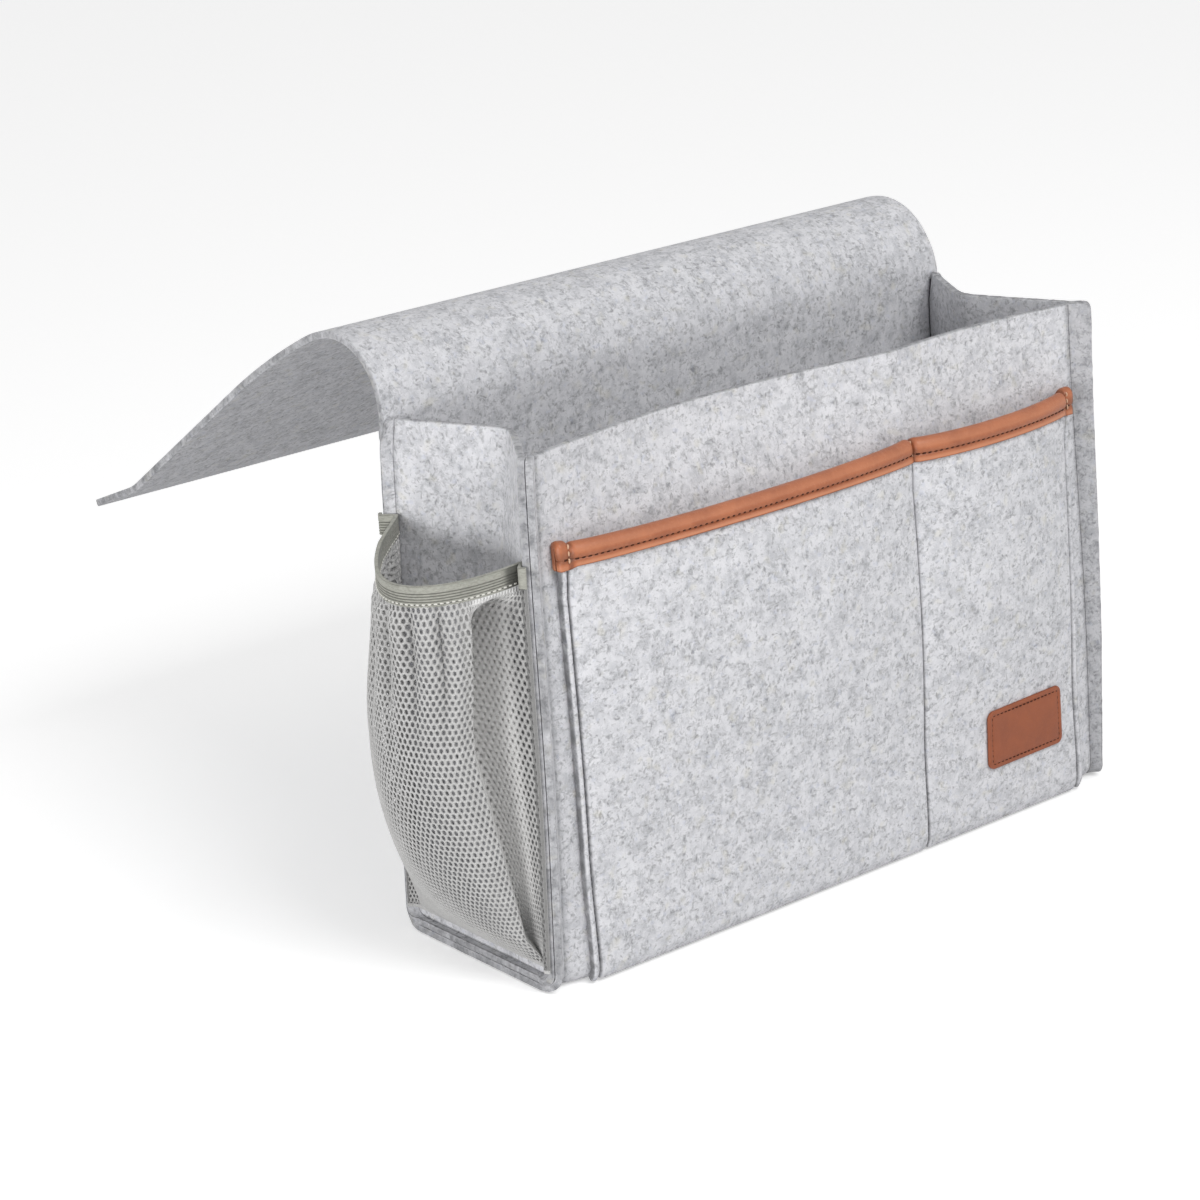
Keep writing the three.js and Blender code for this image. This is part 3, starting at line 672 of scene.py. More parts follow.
def across_row(at, panel_y=None):
    """Points across the sheet at a station, from one raw edge to the other."""
    sides = []
    for side in (-1, 1):
        edge = sheet_edge(at["angle"], seam_width(side, at))
        sides.append([edge_point(side, at, step) for step in edge])
    reach = half_width(at["z"]) - SEAM_INSET
    near = [reach - d for d in NEAR_SEAM]
    middle = np.linspace(-reach, reach, FRONT_COLUMNS + 1)[1:-1]
    inner = np.array([*[-x for x in near], *middle, *near[::-1]])
    ys = panel_y(inner) if panel_y else np.full(len(inner), at["y"])
    return np.array([*sides[0][::-1], *zip(inner, ys, np.full(len(inner), at["z"])), *sides[1]])


def body_rows():
    """Rows down the front, round the base and up the back."""
    rows = []
    for z in [*TOP_HEIGHTS, *np.linspace(222, 12, 62)]:
        rows.append(across_row(front_station(z), lambda x: front_y(x, z)))
    for at in fold_stations(FRONT_FOLD, AT_FRONT, AT_BASE, 10):
        rows.append(across_row(at, lambda x: at["y"] - foot_bulge(x, at["z"])))
    for y in np.linspace(FRONT_FOLD[0], BACK_FOLD[0], 14)[1:-1]:
        fading = (BACK_FOLD[0] - y) / (BACK_FOLD[0] - FRONT_FOLD[0])
        rows.append(across_row(base_station(y), lambda x: y - foot_bulge(x, BASE_MIDDLE_Z) * fading))
    for at in fold_stations(BACK_FOLD, AT_BASE, AT_BACK, 10):
        rows.append(across_row(at))
    for z in [*np.linspace(14, 210, 34), *np.linspace(214, HEIGHT, 8)]:
        rows.append(across_row(back_station(z)))
    return rows


def flap_line():
    """The flap's arcs and straights, as [start, length, y, z, heading, turn], and its whole length."""
    bends = [(radius * abs(math.radians(turn)), math.radians(turn)) for radius, turn in FLAP_BENDS]
    tongue_turn = math.radians(TONGUE_BEND[1])
    tip = [(FLAP_SLOPE_LENGTH, 0.0), (TONGUE_BEND[0] * tongue_turn, tongue_turn), (TONGUE_LENGTH, 0.0)]
    y, z, heading, start = BACK_Y, FLAP_RISE_TOP, math.pi / 2, 0.0
    out = []
    for length, turn in [*bends, *tip]:
        out.append((start, length, y, z, heading, turn))
        run = arc_run(length, turn, heading)
        y, z, heading, start = y + run[0], z + run[1], heading + turn, start + length
    return out, start


FLAP_LINE, FLAP_LENGTH = flap_line()


def flap_point(s):
    """Where a length along the flap lies, as [y, z]."""
    start, length, y, z, heading, turn = [piece for piece in FLAP_LINE if piece[0] <= max(s, 0)][-1]
    run = arc_run(s - start, turn * (s - start) / length, heading)
    return y + run[0], z + run[1]


def flap_stops():
    """Lengths along the flap at which it has a row of points."""
    stops = {*np.arange(4, 96, 2.0), *np.arange(98, 250, 4.0), *np.arange(252, FLAP_LENGTH - 6, 2.0)}
    return sorted({*stops, *[FLAP_LENGTH - k for k in TONGUE_EDGE], *FLAP_SPLITS[1:]})


def flap_row(back_row, s):
    """Points across the flap, which soon gets a little wider than the back; its free corners are round."""
    width = back_row[-1][0]
    half = lerp(width, half_width(HEIGHT) + FLAP_OUTREACH, float(ease((s - FLAP_SPLITS[0]) / 20)))
    xs = back_row[:, 0] * half / width
    into = clamp01(1 - (half - np.abs(xs)) / TONGUE_CORNER)
    cut = TONGUE_CORNER * (1 - np.sqrt(1 - into * into))
    near = clamp01((s - (FLAP_LENGTH - 40)) / 40)
    places = [flap_point(s - c * near ** 2) for c in cut]
    return np.array([(x, y, z) for x, (y, z) in zip(xs, places)])


def sheet_grid():
    """All rows of the long sheet, and the rows at which its pieces end."""
    rows = body_rows()
    back_row = rows[-1]
    marks = [len(rows) - 1]
    for s in flap_stops():
        rows.append(flap_row(back_row, s))
        if s in FLAP_SPLITS[1:]:
            marks.append(len(rows) - 1)
    return np.array(rows), [*marks, len(rows) - 1]


def seam_shade(count, width, body_end):
    """Painted shade in the grooves beside the seams, just inside them and on their flanges, more on the
    right front flange; it fades out where the seams end.
    """
    turn = groove(np.linspace(1, 0, TURN_POINTS))
    side = np.array([*[FLANGE_SHADE] * len(SEAM_STEPS), *turn, *NEAR_SEAM_SHADE])
    shaded = np.maximum(side, np.where(np.arange(len(side)) < len(SEAM_STEPS) + 2, FLANGE_SHADE_RIGHT, 0))
    across = np.concatenate([side, np.zeros(width - 2 * len(side)), shaded[::-1]])
    fading = clamp01((body_end - np.arange(count)) / 8)
    return (fading[:, None] * across).ravel()


def felt_skin(points, quads, sunk, painted_light_and_tone, raw=RAW_EDGE_TONE_AND_SHADE):
    """Felt at its full thickness, sunk on its outer side where told."""
    return thicken(points, quads, HALF_FELT - sunk, HALF_FELT, EDGE_ROUNDING, EDGE_ROUGHNESS, painted_light_and_tone, raw)


def felt_sheets():
    """The long sheet, thickened whole and then cut where the flap's bodies meet."""
    grid, marks = sheet_grid()
    count, width, _ = grid.shape
    painted_light_and_tone = seam_shade(count, width, marks[0])
    quads = grid_quads(count, width, flip=True)
    # The seams' grooves are sunk into the outer skin and carry the painted shade
    verts, faces, painted_light_and_tone_by_point = felt_skin(grid_points(grid), quads, 0.5 * painted_light_and_tone, 0.85 * painted_light_and_tone)
    normals = smooth_normals(verts, faces)
    total = count * width
    ids = np.arange(total).reshape(count, width)
    rim = np.unique(np.concatenate([ids[0], ids[-1], ids[:, 0], ids[:, -1]]))
    levels = (len(verts) - 2 * total) // len(rim)
    row_of = np.concatenate([np.arange(total) // width] * 2 + [rim // width] * levels)
    lowest = np.array([row_of[f].min() for f in faces])
    highest = np.array([row_of[f].max() for f in faces])

    def end_cap(row):
        """The cut between two pieces of the sheet: a strip from the top skin to the bottom one."""
        sides = []
        for column in (0, width - 1):
            place = int(np.searchsorted(rim, row * width + column))
            sides.append([2 * total + k * len(rim) + place for k in range(levels)])
        top = row * width + np.arange(width)
        low = top + total
        cap = [[int(top[i]), int(top[i + 1]), int(low[i + 1]), int(low[i])] for i in range(width - 1)]
        return cap + [[int(top[0]), int(low[0]), *sides[0][::-1]], [int(low[-1]), int(top[-1]), *sides[1]]]

    names = ["felt_body", "felt_flap_rise", "felt_flap_crown", "felt_flap_slope", "felt_flap_tongue"]
    objects = []
    for name, low, high in zip(names, [0, *marks[:-1]], marks):
        starts_cut, ends_cut = low > 0, high < count - 1
        on_cut = (lowest == highest) & (((lowest == low) & starts_cut) | ((highest == high) & ends_cut))
        chosen = (lowest >= low) & (highest <= high) & ~on_cut
        picked = [faces[k] for k in np.nonzero(chosen)[0]]
        if starts_cut:
            picked += end_cap(low)
        if ends_cut:
            picked += [cap[::-1] for cap in end_cap(high)]
        used = np.unique(np.concatenate([np.array(f) for f in picked]))
        number = -np.ones(len(verts), int)
        number[used] = np.arange(len(used))
        parts = [number[np.array(f)].tolist() for f in picked]
        objects.append(make_object(name, verts[used], parts, FELT_MAT, normals[used], painted_light_and_tone_by_point[used]))
    return objects


body, flap_rise, flap_crown, flap_slope, flap_tongue = felt_sheets()
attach(body, "caddy")
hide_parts("front_panel", "front_fold", "base_panel", "back_fold", "back_panel")
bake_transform(flap_rise)
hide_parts("flap_arch_front")
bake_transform(flap_crown)
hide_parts("flap_arch_rear")
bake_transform(flap_slope)
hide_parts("flap_slope")
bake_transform(flap_tongue)
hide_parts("flap_tongue")


def strip(name, grid, half, rounding, mat, flip, ribs=0.0, painted_light_and_tone=0.0, under=0.0):
    """A thin strip such as a band or a hem, with the ribs added on both faces."""
    quads = grid_quads(*grid.shape[:2], flip=flip)
    thick = half + np.ravel(ribs)
    skin = thicken(grid_points(grid), quads, thick, thick, rounding, 0, painted_light_and_tone, under=under)
    return caddy_piece(name, skin, mat)


# Gussets
GUSSET_COLUMNS = 56


def fold_in(gusset, y, z, front_end, back_end):
    """How far the gusset is folded inward at a depth and a height."""
    end = np.where(y < gusset["crease"], front_end, back_end)

    def rounded(distance):
        return np.hypot(distance, CREASE_ROUNDING) - CREASE_ROUNDING

    share = clamp01(1 - rounded(y - gusset["crease"]) / rounded(end - gusset["crease"]))
    return gusset["depth"] * share * clamp01(z / HEIGHT) ** FOLD_GROWTH


def seam_thread_line(name, end):
    """The sewing between a seam's two layers, in dark thread that paints the shade of the gap between them.
    """
    side = GUSSETS[name]["side"]
    rows = []
    for z in np.linspace(14, HEIGHT - 3, 60):
        at = front_station(z) if end == "front" else back_station(z, True)
        n, out = sheet_edge(at["angle"], seam_width(side, at))[TURN_POINTS - 1]
        c, s = math.cos(at["angle"]), math.sin(at["angle"])
        middle = (n + s * LAYER_STEP / 2, out - c * LAYER_STEP / 2)
        steps = [(middle[0] + c * along, middle[1] + s * along) for along in (1.2, 1.6, 2.0)]
        rows.append([edge_point(side, at, step) for step in steps])
    return strip(f"thread_seam_{end}_{name}", np.array(rows), 0.22, 0.1, THREADS["dark"], False)


def gusset_skin(gusset):
    """The folded panel first, then its seam edges all the way round it."""
    side = gusset["side"]
    heights = [*TOP_HEIGHTS, *np.linspace(222, 14, 56)]
    front = [front_station(z) for z in heights] + fold_stations(FRONT_FOLD, AT_FRONT, AT_BASE, 8)
    back = [back_station(z, True) for z in heights] + fold_stations(BACK_FOLD, AT_BACK, AT_BASE, 8)

    def edge_at(at):
        return [edge_point(side, at, step) for step in gusset_edge(at["angle"], seam_width(side, at))]

    points, grid, cells = [], [], []
    for fore, aft in zip(front, back):
        start, end = np.array(edge_at(fore)[0]), np.array(edge_at(aft)[0])
        line = []
        for share in np.linspace(0, 1, GUSSET_COLUMNS + 1):
            point = lerp(start, end, share)
            point[0] -= side * float(fold_in(gusset, point[1], point[2], start[1], end[1]))
            points.append(point)
            line.append(len(points) - 1)
        grid.append(line)
    for upper, lower in zip(grid[:-1], grid[1:]):
        for c in range(GUSSET_COLUMNS):
            cells.append([upper[c], upper[c + 1], lower[c + 1], lower[c]])
    ring = [(at, line[0]) for at, line in zip(front, grid)]
    ring += [(base_station(points[grid[-1][c]][1]), grid[-1][c]) for c in range(1, GUSSET_COLUMNS)]
    ring += [(at, line[-1]) for at, line in zip(back[::-1], grid[::-1])]
    strips = []
    for at, first in ring:
        edge = edge_at(at)[1:]
        strips.append([first, *range(len(points), len(points) + len(edge))])
        points.extend(np.array(place) for place in edge)
    for one, two in zip(strips[:-1], strips[1:]):
        for k in range(len(one) - 1):
            cells.append([one[k], two[k], two[k + 1], one[k + 1]])
    cells = np.array(cells)
    # Painted shade in each seam's groove and on its flange; the groove is also sunk in
    painted_light_and_tone = np.zeros(len(points))
    for ids in strips:
        painted_light_and_tone[ids[:TURN_POINTS]] = groove(np.linspace(0, 1, TURN_POINTS))
        painted_light_and_tone[ids[TURN_POINTS:]] = FLANGE_SHADE_GUSSET
    return felt_skin(np.array(points), cells[:, ::-1] if side > 0 else cells, 0.4 * painted_light_and_tone, 0.6 * painted_light_and_tone)


def gusset_sheet(name):
    obj = caddy_piece(f"felt_gusset_{name}", gusset_skin(GUSSETS[name]), FELT_MAT)
    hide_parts(f"gusset_{name}")
    threads = [seam_thread_line(name, end) for end in ("front", "back")]


for name in GUSSETS:
    gusset_sheet(name)


# Front pocket panel
BINDING_OFFSET = HALF_FELT + GAP + LEATHER / 2
BINDING_TOP = POCKET_TOP + BINDING_OFFSET + LEATHER / 2
BINDING_FOOT = BINDING_TOP - BINDING_HEIGHT
SEAM_LINES = [POCKET_LEFT + POCKET_SEAM_INSET, POCKET_DIVIDER, POCKET_RIGHT - POCKET_SEAM_INSET]
BESIDE_SEAM = (0.35, 0.7, 1.1, 1.6, 2.2, 3)


def pocket_bulge(x, z):
    """How far the two pockets stand off between their seams."""
    left = x < POCKET_DIVIDER
    start = np.where(left, SEAM_LINES[0], POCKET_DIVIDER)
    end = np.where(left, POCKET_DIVIDER, SEAM_LINES[2])
    across = np.abs(np.sin(math.pi * clamp01((x - start) / (end - start)))) ** 0.6
    up = ease((z - FRONT_FOLD_TOP) / (POCKET_TOP - FRONT_FOLD_TOP))
    room = clamp01((z - FRONT_FOLD_TOP) / 12)
    return across * room * lerp(POCKET_BULGE_AT_BASE, POCKET_BULGE, up)


def pocket_y(x, z):
    room = (LEATHER + GAP) * ease((z - BINDING_FOOT) / BINDING_HEIGHT + 1)
    return front_y(x, z) - LAYER_STEP - room - pocket_bulge(x, z)


def from_ends(x):
    """0 at the pockets' ends, 1 from a little inside them."""
    return ease((np.minimum(x - POCKET_LEFT, POCKET_RIGHT - x) - 3) / 4)


def mouth_sag(x):
    """The pockets' mouth sags between its ends."""
    left = x < POCKET_DIVIDER
    start = np.where(left, POCKET_LEFT, POCKET_DIVIDER)
    end = np.where(left, POCKET_DIVIDER, POCKET_RIGHT)
    across = np.sin(math.pi * clamp01((x - start) / (end - start))) ** 0.6
    sag = np.where(left, MOUTH_SAG_LEFT, MOUTH_SAG_RIGHT) * across
    return MOUTH_DROP * (0.3 + 0.7 * from_ends(x)) + sag


def settled(x, z):
    """Where a height on the pockets comes down to with the mouth."""
    up = clamp01((z - BINDING_FOOT + MOUTH_SETTLING) / (POCKET_TOP - BINDING_FOOT + MOUTH_SETTLING))
    return z - mouth_sag(x) * up


def settled_binding(x, z):
    """The same on the binding, whose foot rises between its ends."""
    up = clamp01((z - BINDING_FOOT) / (POCKET_TOP - BINDING_FOOT))
    return z - mouth_sag(x) * up + BINDING_FOOT_RISE * (0.1 + 0.9 * from_ends(x)) * (1 - up)


def spaced(stops, step):
    """Even steps from each stop to the next."""
    out = [stops[0]]
    for a, b in zip(stops[:-1], stops[1:]):
        count = max(1, round((b - a) / step))
        out.extend(np.linspace(a, b, count + 1)[1:])
    return np.array(out)


def pocket_xs():
    """Columns of the panel, closer together beside its seams."""
    coarse = spaced([POCKET_LEFT, *SEAM_LINES, POCKET_RIGHT], 3.0)
    beside = [*[-d for d in BESIDE_SEAM], 0, *BESIDE_SEAM]
    fine = [line + d for line in SEAM_LINES for d in beside]
    xs = np.unique(np.round([*coarse, *fine, POCKET_LEFT + 0.6, POCKET_RIGHT - 0.6], 3))
    xs = xs[(xs >= POCKET_LEFT) & (xs <= POCKET_RIGHT)]
    kept = [xs[0]]
    for x in xs[1:]:
        if x - kept[-1] > 0.3:
            kept.append(x)
    kept[-1] = POCKET_RIGHT
    return np.array(kept)


def seam_groove(x):
    near = np.min([np.abs(x - line) for line in SEAM_LINES], axis=0)
    return np.exp(-(near / 0.75) ** 2)


def edge_ridge(x):
    """The edge outside an end seam stands up a little."""
    out = np.maximum(SEAM_LINES[0] - x, x - SEAM_LINES[2])
    return np.exp(-((out - 1.9) / 0.8) ** 2)


def pocket_sheet():
    xs = pocket_xs()
    radius = FRONT_FOLD_RADIUS + LAYER_STEP
    foot_y = pocket_y(xs, FRONT_FOLD_TOP)
    rows = []
    for turn in np.linspace(POCKET_WRAP, 0, 8)[:-1]:
        zs = np.full(len(xs), FRONT_FOLD_TOP - radius * math.sin(turn))
        rows.append(np.stack([xs, foot_y + radius * (1 - math.cos(turn)), zs], axis=1))
    for z in spaced([FRONT_FOLD_TOP, BINDING_FOOT, POCKET_TOP], 4.0):
        rows.append(np.stack([xs, pocket_y(xs, z), settled(xs, z)], axis=1))
    grid = np.array(rows)
    sunk = np.tile(1.2 * seam_groove(xs) - 0.35 * edge_ridge(xs), len(rows))
    # Painted shade in the seams' grooves, which are also sunk in
    painted_light_and_tone = np.tile(0.9 * seam_groove(xs), len(rows))
    skin = felt_skin(grid_points(grid), grid_quads(*grid.shape[:2]), sunk, painted_light_and_tone, POCKET_RAW_EDGE_TONE_AND_SHADE)
    obj = caddy_piece("felt_front_pockets", skin, FELT_MAT)
    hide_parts("pocket_panel")
    return obj


pocket = pocket_sheet()


# Leather binding: puffed above its row of stitches, flat below it and at its ends
STITCH_ROW = 0.63 * BINDING_HEIGHT
END_STITCHES = [POCKET_LEFT + END_STITCH_INSET, POCKET_DIVIDER, POCKET_RIGHT - END_STITCH_INSET]


def pinch(x):
    """1 on the stitches that tie the binding down at its ends and at the divider."""
    near = np.min([np.abs(x - line) for line in END_STITCHES], axis=0)
    return np.exp(-(near / 1.3) ** 2)


def binding_columns():
    """Columns of the binding, and how open its fold is at each: it closes at both ends."""
    fine = [line + d for line in END_STITCHES for d in (-2.4, -1.6, -1.0, -0.5, 0, 0.5, 1.0, 1.6, 2.4)]
    xs = np.unique(np.round([*pocket_xs(), *fine], 3))
    xs = xs[(xs > POCKET_LEFT + 0.4) & (xs < POCKET_RIGHT - 0.4)]
    ends = [0.0, BINDING_OVERHANG, BINDING_OVERHANG + 0.25, BINDING_OVERHANG + 0.3]
    closing = [1.0, 1.0, 0.75, 0.1]
    columns = [*[POCKET_LEFT - d for d in ends[::-1]], *xs, *[POCKET_RIGHT + d for d in ends]]
    return np.array(columns), np.array([*closing[::-1], *np.ones(len(xs)), *closing])


def binding_path():
    """The binding's section, up the front, over the panel's edge and down behind, as [outward, z]."""
    by_stitches = BINDING_TOP - STITCH_ROW + np.array([-0.9, -0.4, 0, 0.4, 0.9])
    legs = np.unique([*np.linspace(BINDING_FOOT, POCKET_TOP, 16), *by_stitches])
    over = np.linspace(0, math.pi, 14)[1:-1]
    path = [(-BINDING_OFFSET, z) for z in legs]
    path += [(-BINDING_OFFSET * math.cos(t), POCKET_TOP + BINDING_OFFSET * math.sin(t)) for t in over]
    return path + [(BINDING_OFFSET, z) for z in legs[::-1]]


def binding_sheet():
    xs, closing = binding_columns()
    inside = np.clip(xs, POCKET_LEFT, POCKET_RIGHT)
    squeeze = pinch(xs)
    past_stitches = clamp01(np.maximum(END_STITCHES[0] - xs, xs - END_STITCHES[2]) / 0.8)
    rows, above, painted_light_and_tone = [], [], []
    for out, z in binding_path():
        down = BINDING_TOP - z
        puff, sewn, shaded = 0.2, 0.0, 0.0
        if out < 0:
            puff = BINDING_PUFF * math.sin(math.pi * min(1, max(0, down / STITCH_ROW))) ** 0.7
            sewn = math.exp(-((down - STITCH_ROW) / 0.55) ** 2)
            # Painted shade from below the highlight down to the stitches, and a painted highlight along the
            # upper part
            shaded = 0.2 * clamp01((down - 4.2) / 2.5) * (down < STITCH_ROW + 1)
            shaded -= 0.35 * math.exp(-((down - 3.0) / 1.3) ** 2)
        swell = puff * (1 - 0.9 * squeeze) * (1 - 0.65 * past_stitches)
        above.append(LEATHER / 2 + swell - 0.3 * sewn - 0.35 * squeeze)
        # Painted shade in the stitch groove and the pinches, a paler strip below the stitches, darker cut
        # edges and darker tabs past the end stitches
        pale = 0.75 * clamp01((down - STITCH_ROW - 1.5) / 1.5)
        cut = 0.9 * clamp01((down - BINDING_HEIGHT + 0.7) / 0.5)
        shade_highlight_and_pale_strip = 0.12 * sewn + shaded - pale * (1 - squeeze)
        painted_light_and_tone.append(0.55 * squeeze + shade_highlight_and_pale_strip + cut + 0.22 * past_stitches)
        sink = squeeze * 0.8 * clamp01((z - POCKET_TOP + 2) / 4) + (1 - closing) * max(0.0, z - POCKET_TOP)
        y = pocket_y(inside, min(z, POCKET_TOP)) + out * closing
        rows.append(np.stack([xs, y, settled_binding(inside, z) - sink], axis=1))
    grid = np.array(rows)
    skin = thicken(grid_points(grid), grid_quads(*grid.shape[:2]), np.concatenate(above), LEATHER / 2,
                   BINDING_ROUNDING, 0, np.concatenate(painted_light_and_tone), BINDING_CUT_SOIL)
    obj = caddy_piece("leather_pocket_binding", skin, BINDING_MAT)
    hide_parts("pocket_binding")
    return obj


binding = binding_sheet()


# Blank leather patch, with rings as [in from the edge, off the pocket]
PATCH_EDGE = [(0.3, 0.0), (0.0, 0.25), (0.0, 0.6 * PATCH_THICKNESS), (0.12, 0.85 * PATCH_THICKNESS)]
PATCH_BORDER = [(0.45, 0), (1.3, 0.05), (1.9, 0), (2.3, -0.3), (2.7, 0), (3.4, 0.06)]


def patch_outline(inset, count):
    """Points round a rounded rectangle, pulled in by the inset."""
    w, h = PATCH_WIDTH / 2 - inset, PATCH_HEIGHT / 2 - inset
    r = max(0.6, PATCH_CORNER - inset)
    out = []
    for k, (across, up) in enumerate(((1, 1), (-1, 1), (-1, -1), (1, -1))):
        for t in np.radians(np.linspace(90 * k, 90 * k + 90, count)):
            out.append((across * (w - r) + r * math.cos(t), up * (h - r) + r * math.sin(t)))
    return np.array(out)


def patch_place(flat, off):
    x = PATCH_CENTRE_X + flat[:, 0]
    z = PATCH_CENTRE_Z + flat[:, 1]
    y = pocket_y(x, z) - HALF_FELT - GAP - off
    return np.stack([x, y, z], axis=1)


def leather_patch():
    count = 10
    levels = PATCH_EDGE + [(inset, PATCH_THICKNESS + off) for inset, off in PATCH_BORDER]
    rings = [patch_place(patch_outline(inset, count), off) for inset, off in levels]
    deep = patch_outline(PATCH_BORDER[-1][0], count)
    face = PATCH_THICKNESS + PATCH_DOME
    for share in np.linspace(0.85, 0.1, 10):
        rings.append(patch_place(deep * share, face))
    width = len(rings[0])
    middle = np.zeros((1, 2))
    verts = np.concatenate([*rings, patch_place(middle, face), patch_place(middle, 0)])
    faces = []
    for k in range(len(rings) - 1):
        for i in range(width):
            j = (i + 1) % width
            faces.append([k * width + i, k * width + j, (k + 1) * width + j, (k + 1) * width + i])
    last = (len(rings) - 1) * width
    for i in range(width):
        faces.append([last + i, last + (i + 1) % width, len(verts) - 2])
        faces.append([(i + 1) % width, i, len(verts) - 1])
    obj = caddy_piece("leather_front_patch", (verts, faces, None), PATCH_MAT, smooth=False)
    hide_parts("leather_patch")
    return obj


patch = leather_patch()


# Stitches: small thread beads laid along a path, with a bead's section as [along, thickness]
BEAD = [(-0.9, 0.6), (-0.6, 0.95), (0.0, 1.0), (0.6, 0.95), (0.9, 0.6)]
BEAD_SIDES = 8
BEAD_DIP = 0.9
STITCH_JITTER = 0.05


def stitches(name, thread, places, radius):
    """places are (middle, half direction, outward normal) for every stitch."""
    verts, faces = [], []
    for middle, along, normal in places:
        sideways = unit(np.cross(along, normal))
        start = len(verts)
        for run, thick in BEAD:
            dip = radius * BEAD_DIP * abs(run) ** 3
            for k in range(BEAD_SIDES):
                t = 2 * math.pi * k / BEAD_SIDES
                up = radius * thick * math.cos(t) - dip
                verts.append(middle + along * run + normal * up + sideways * radius * thick * math.sin(t))
        verts.extend(middle + along * run - normal * radius * BEAD_DIP for run in (-1, 1))
        tips = start + len(BEAD) * BEAD_SIDES
        for r in range(len(BEAD) - 1):
            for k in range(BEAD_SIDES):
                a, b = start + r * BEAD_SIDES + k, start + r * BEAD_SIDES + (k + 1) % BEAD_SIDES
                faces.append([a, b, b + BEAD_SIDES, a + BEAD_SIDES])
        for k in range(BEAD_SIDES):
            nxt = (k + 1) % BEAD_SIDES
            faces.append([start + nxt, start + k, tips])
            faces.append([tips - BEAD_SIDES + k, tips - BEAD_SIDES + nxt, tips + 1])
    return caddy_piece(name, (verts, faces, None), THREADS[thread], smooth=False)


def lengths_along(path):
    """How far each point of a path is from its start."""
    return np.concatenate([[0], np.cumsum(np.linalg.norm(np.diff(path, axis=0), axis=1))])


def along_path(points, normals, pitch, length, start=0.5):
    """Places for stitches along a path, the first one a share of the pitch from its start."""
    runs = lengths_along(points)

    def at(s, values):
        return np.array([np.interp(s, runs, values[:, k]) for k in range(3)])

    out = []
    s = pitch * start
    while s < runs[-1] - pitch * 0.3:
        here = s + RNG.normal(0, STITCH_JITTER)
        half = (at(here + length / 2, points) - at(here - length / 2, points)) / 2
        out.append((at(here, points), half, unit(at(here, normals))))
        s += pitch
    return out


def front_normals(xs, zs):
    """Outward normals of the front pockets."""
    e = 0.5
    out = []
    for x, z in zip(xs, zs):
        dx = (pocket_y(x + e, z) - pocket_y(x - e, z)) / (2 * e)
        dz = (pocket_y(x, z + e) - pocket_y(x, z - e)) / (2 * e)
        out.append((dx, -1.0, dz))
    return unit(np.array(out, float))


def pocket_line(xs, zs, off, lay=settled_binding):
    """A line of points laid on the pockets, and its normals."""
    normals = front_normals(xs, np.minimum(zs, POCKET_TOP - 1))
    ys = pocket_y(np.clip(xs, POCKET_LEFT, POCKET_RIGHT), np.minimum(zs, POCKET_TOP))
    return np.stack([xs, ys, lay(xs, zs)], axis=1) + normals * off, normals


def binding_stitches():
    row_z = BINDING_TOP - STITCH_ROW
    surface = BINDING_OFFSET + LEATHER / 2
    out = []
    for a, b in zip(END_STITCHES[:-1], END_STITCHES[1:]):
        xs = np.linspace(a + 1.6, b - 1.6, 160)
        out += along_path(*pocket_line(xs, np.full(160, row_z), surface - 0.2), *ROW_STITCH)
    for x in (POCKET_LEFT + 1.6, POCKET_RIGHT - 1.6):
        tab = np.linspace(x - 1.2, x + 1.2, 12)
        out += along_path(*pocket_line(tab, np.full(12, row_z), surface - 0.2), *TAB_STITCH)
    dark = stitches("thread_binding_row", "brown", out, ROW_THREAD)
    pale = []
    for x in END_STITCHES:
        zs = np.linspace(BINDING_TOP - 0.8, BINDING_TOP - BINDING_HEIGHT + 0.8, 30)
        pale += along_path(*pocket_line(np.full(30, x), zs, surface - 0.1), *END_STITCH, 0.45)
    return dark, stitches("thread_binding_ends", "pale", pale, END_THREAD)


def patch_stitches():
    ring = patch_outline(PATCH_STITCH_INSET, 12)
    flat = evenly(np.concatenate([ring, ring[:1]]), 300)
    places = patch_place(flat, PATCH_THICKNESS - 0.3)
    normals = front_normals(PATCH_CENTRE_X + flat[:, 0], PATCH_CENTRE_Z + flat[:, 1])
    line = along_path(places, normals, *PATCH_STITCH)
    return stitches("thread_patch", "brown", line, PATCH_THREAD)


def seam_stitches():
    out = []
    for x in SEAM_LINES:
        zs = np.linspace(BINDING_FOOT - 1.5, FRONT_FOLD_TOP, 120)
        out += along_path(*pocket_line(np.full(120, x), zs, HALF_FELT - 1.1, settled), *SEAM_STITCH)
    # Dark thread that paints the shade in the seams' grooves
    return stitches("thread_pocket_seams", "dark", out, SEAM_THREAD)


def evenly(path, count):
    """The same path with evenly spaced points."""
    path = np.asarray(path, float)
    runs = lengths_along(path)
    at = np.linspace(0, runs[-1], count)
    return np.stack([np.interp(at, runs, path[:, k]) for k in range(path.shape[1])], axis=1)


binding_row, binding_ends = binding_stitches()
patch_thread = patch_stitches()
seam_thread = seam_stitches()


# Side pockets, with the pleat's recess as [outward, share of the pleat's depth]
RECESS = ((0, 0), (0.3, 0.33), (1.0, 0.68), (2.6, 0.93), (4.6, 1.0), (7.4, 0.92))


def rim_drop(share, z):
    """How far the pocket's rim sags, less so further down."""
    return (RIM_SAG * np.sin(math.pi * share) - RIM_RISE * share) * (z / MESH_TOP) ** 3


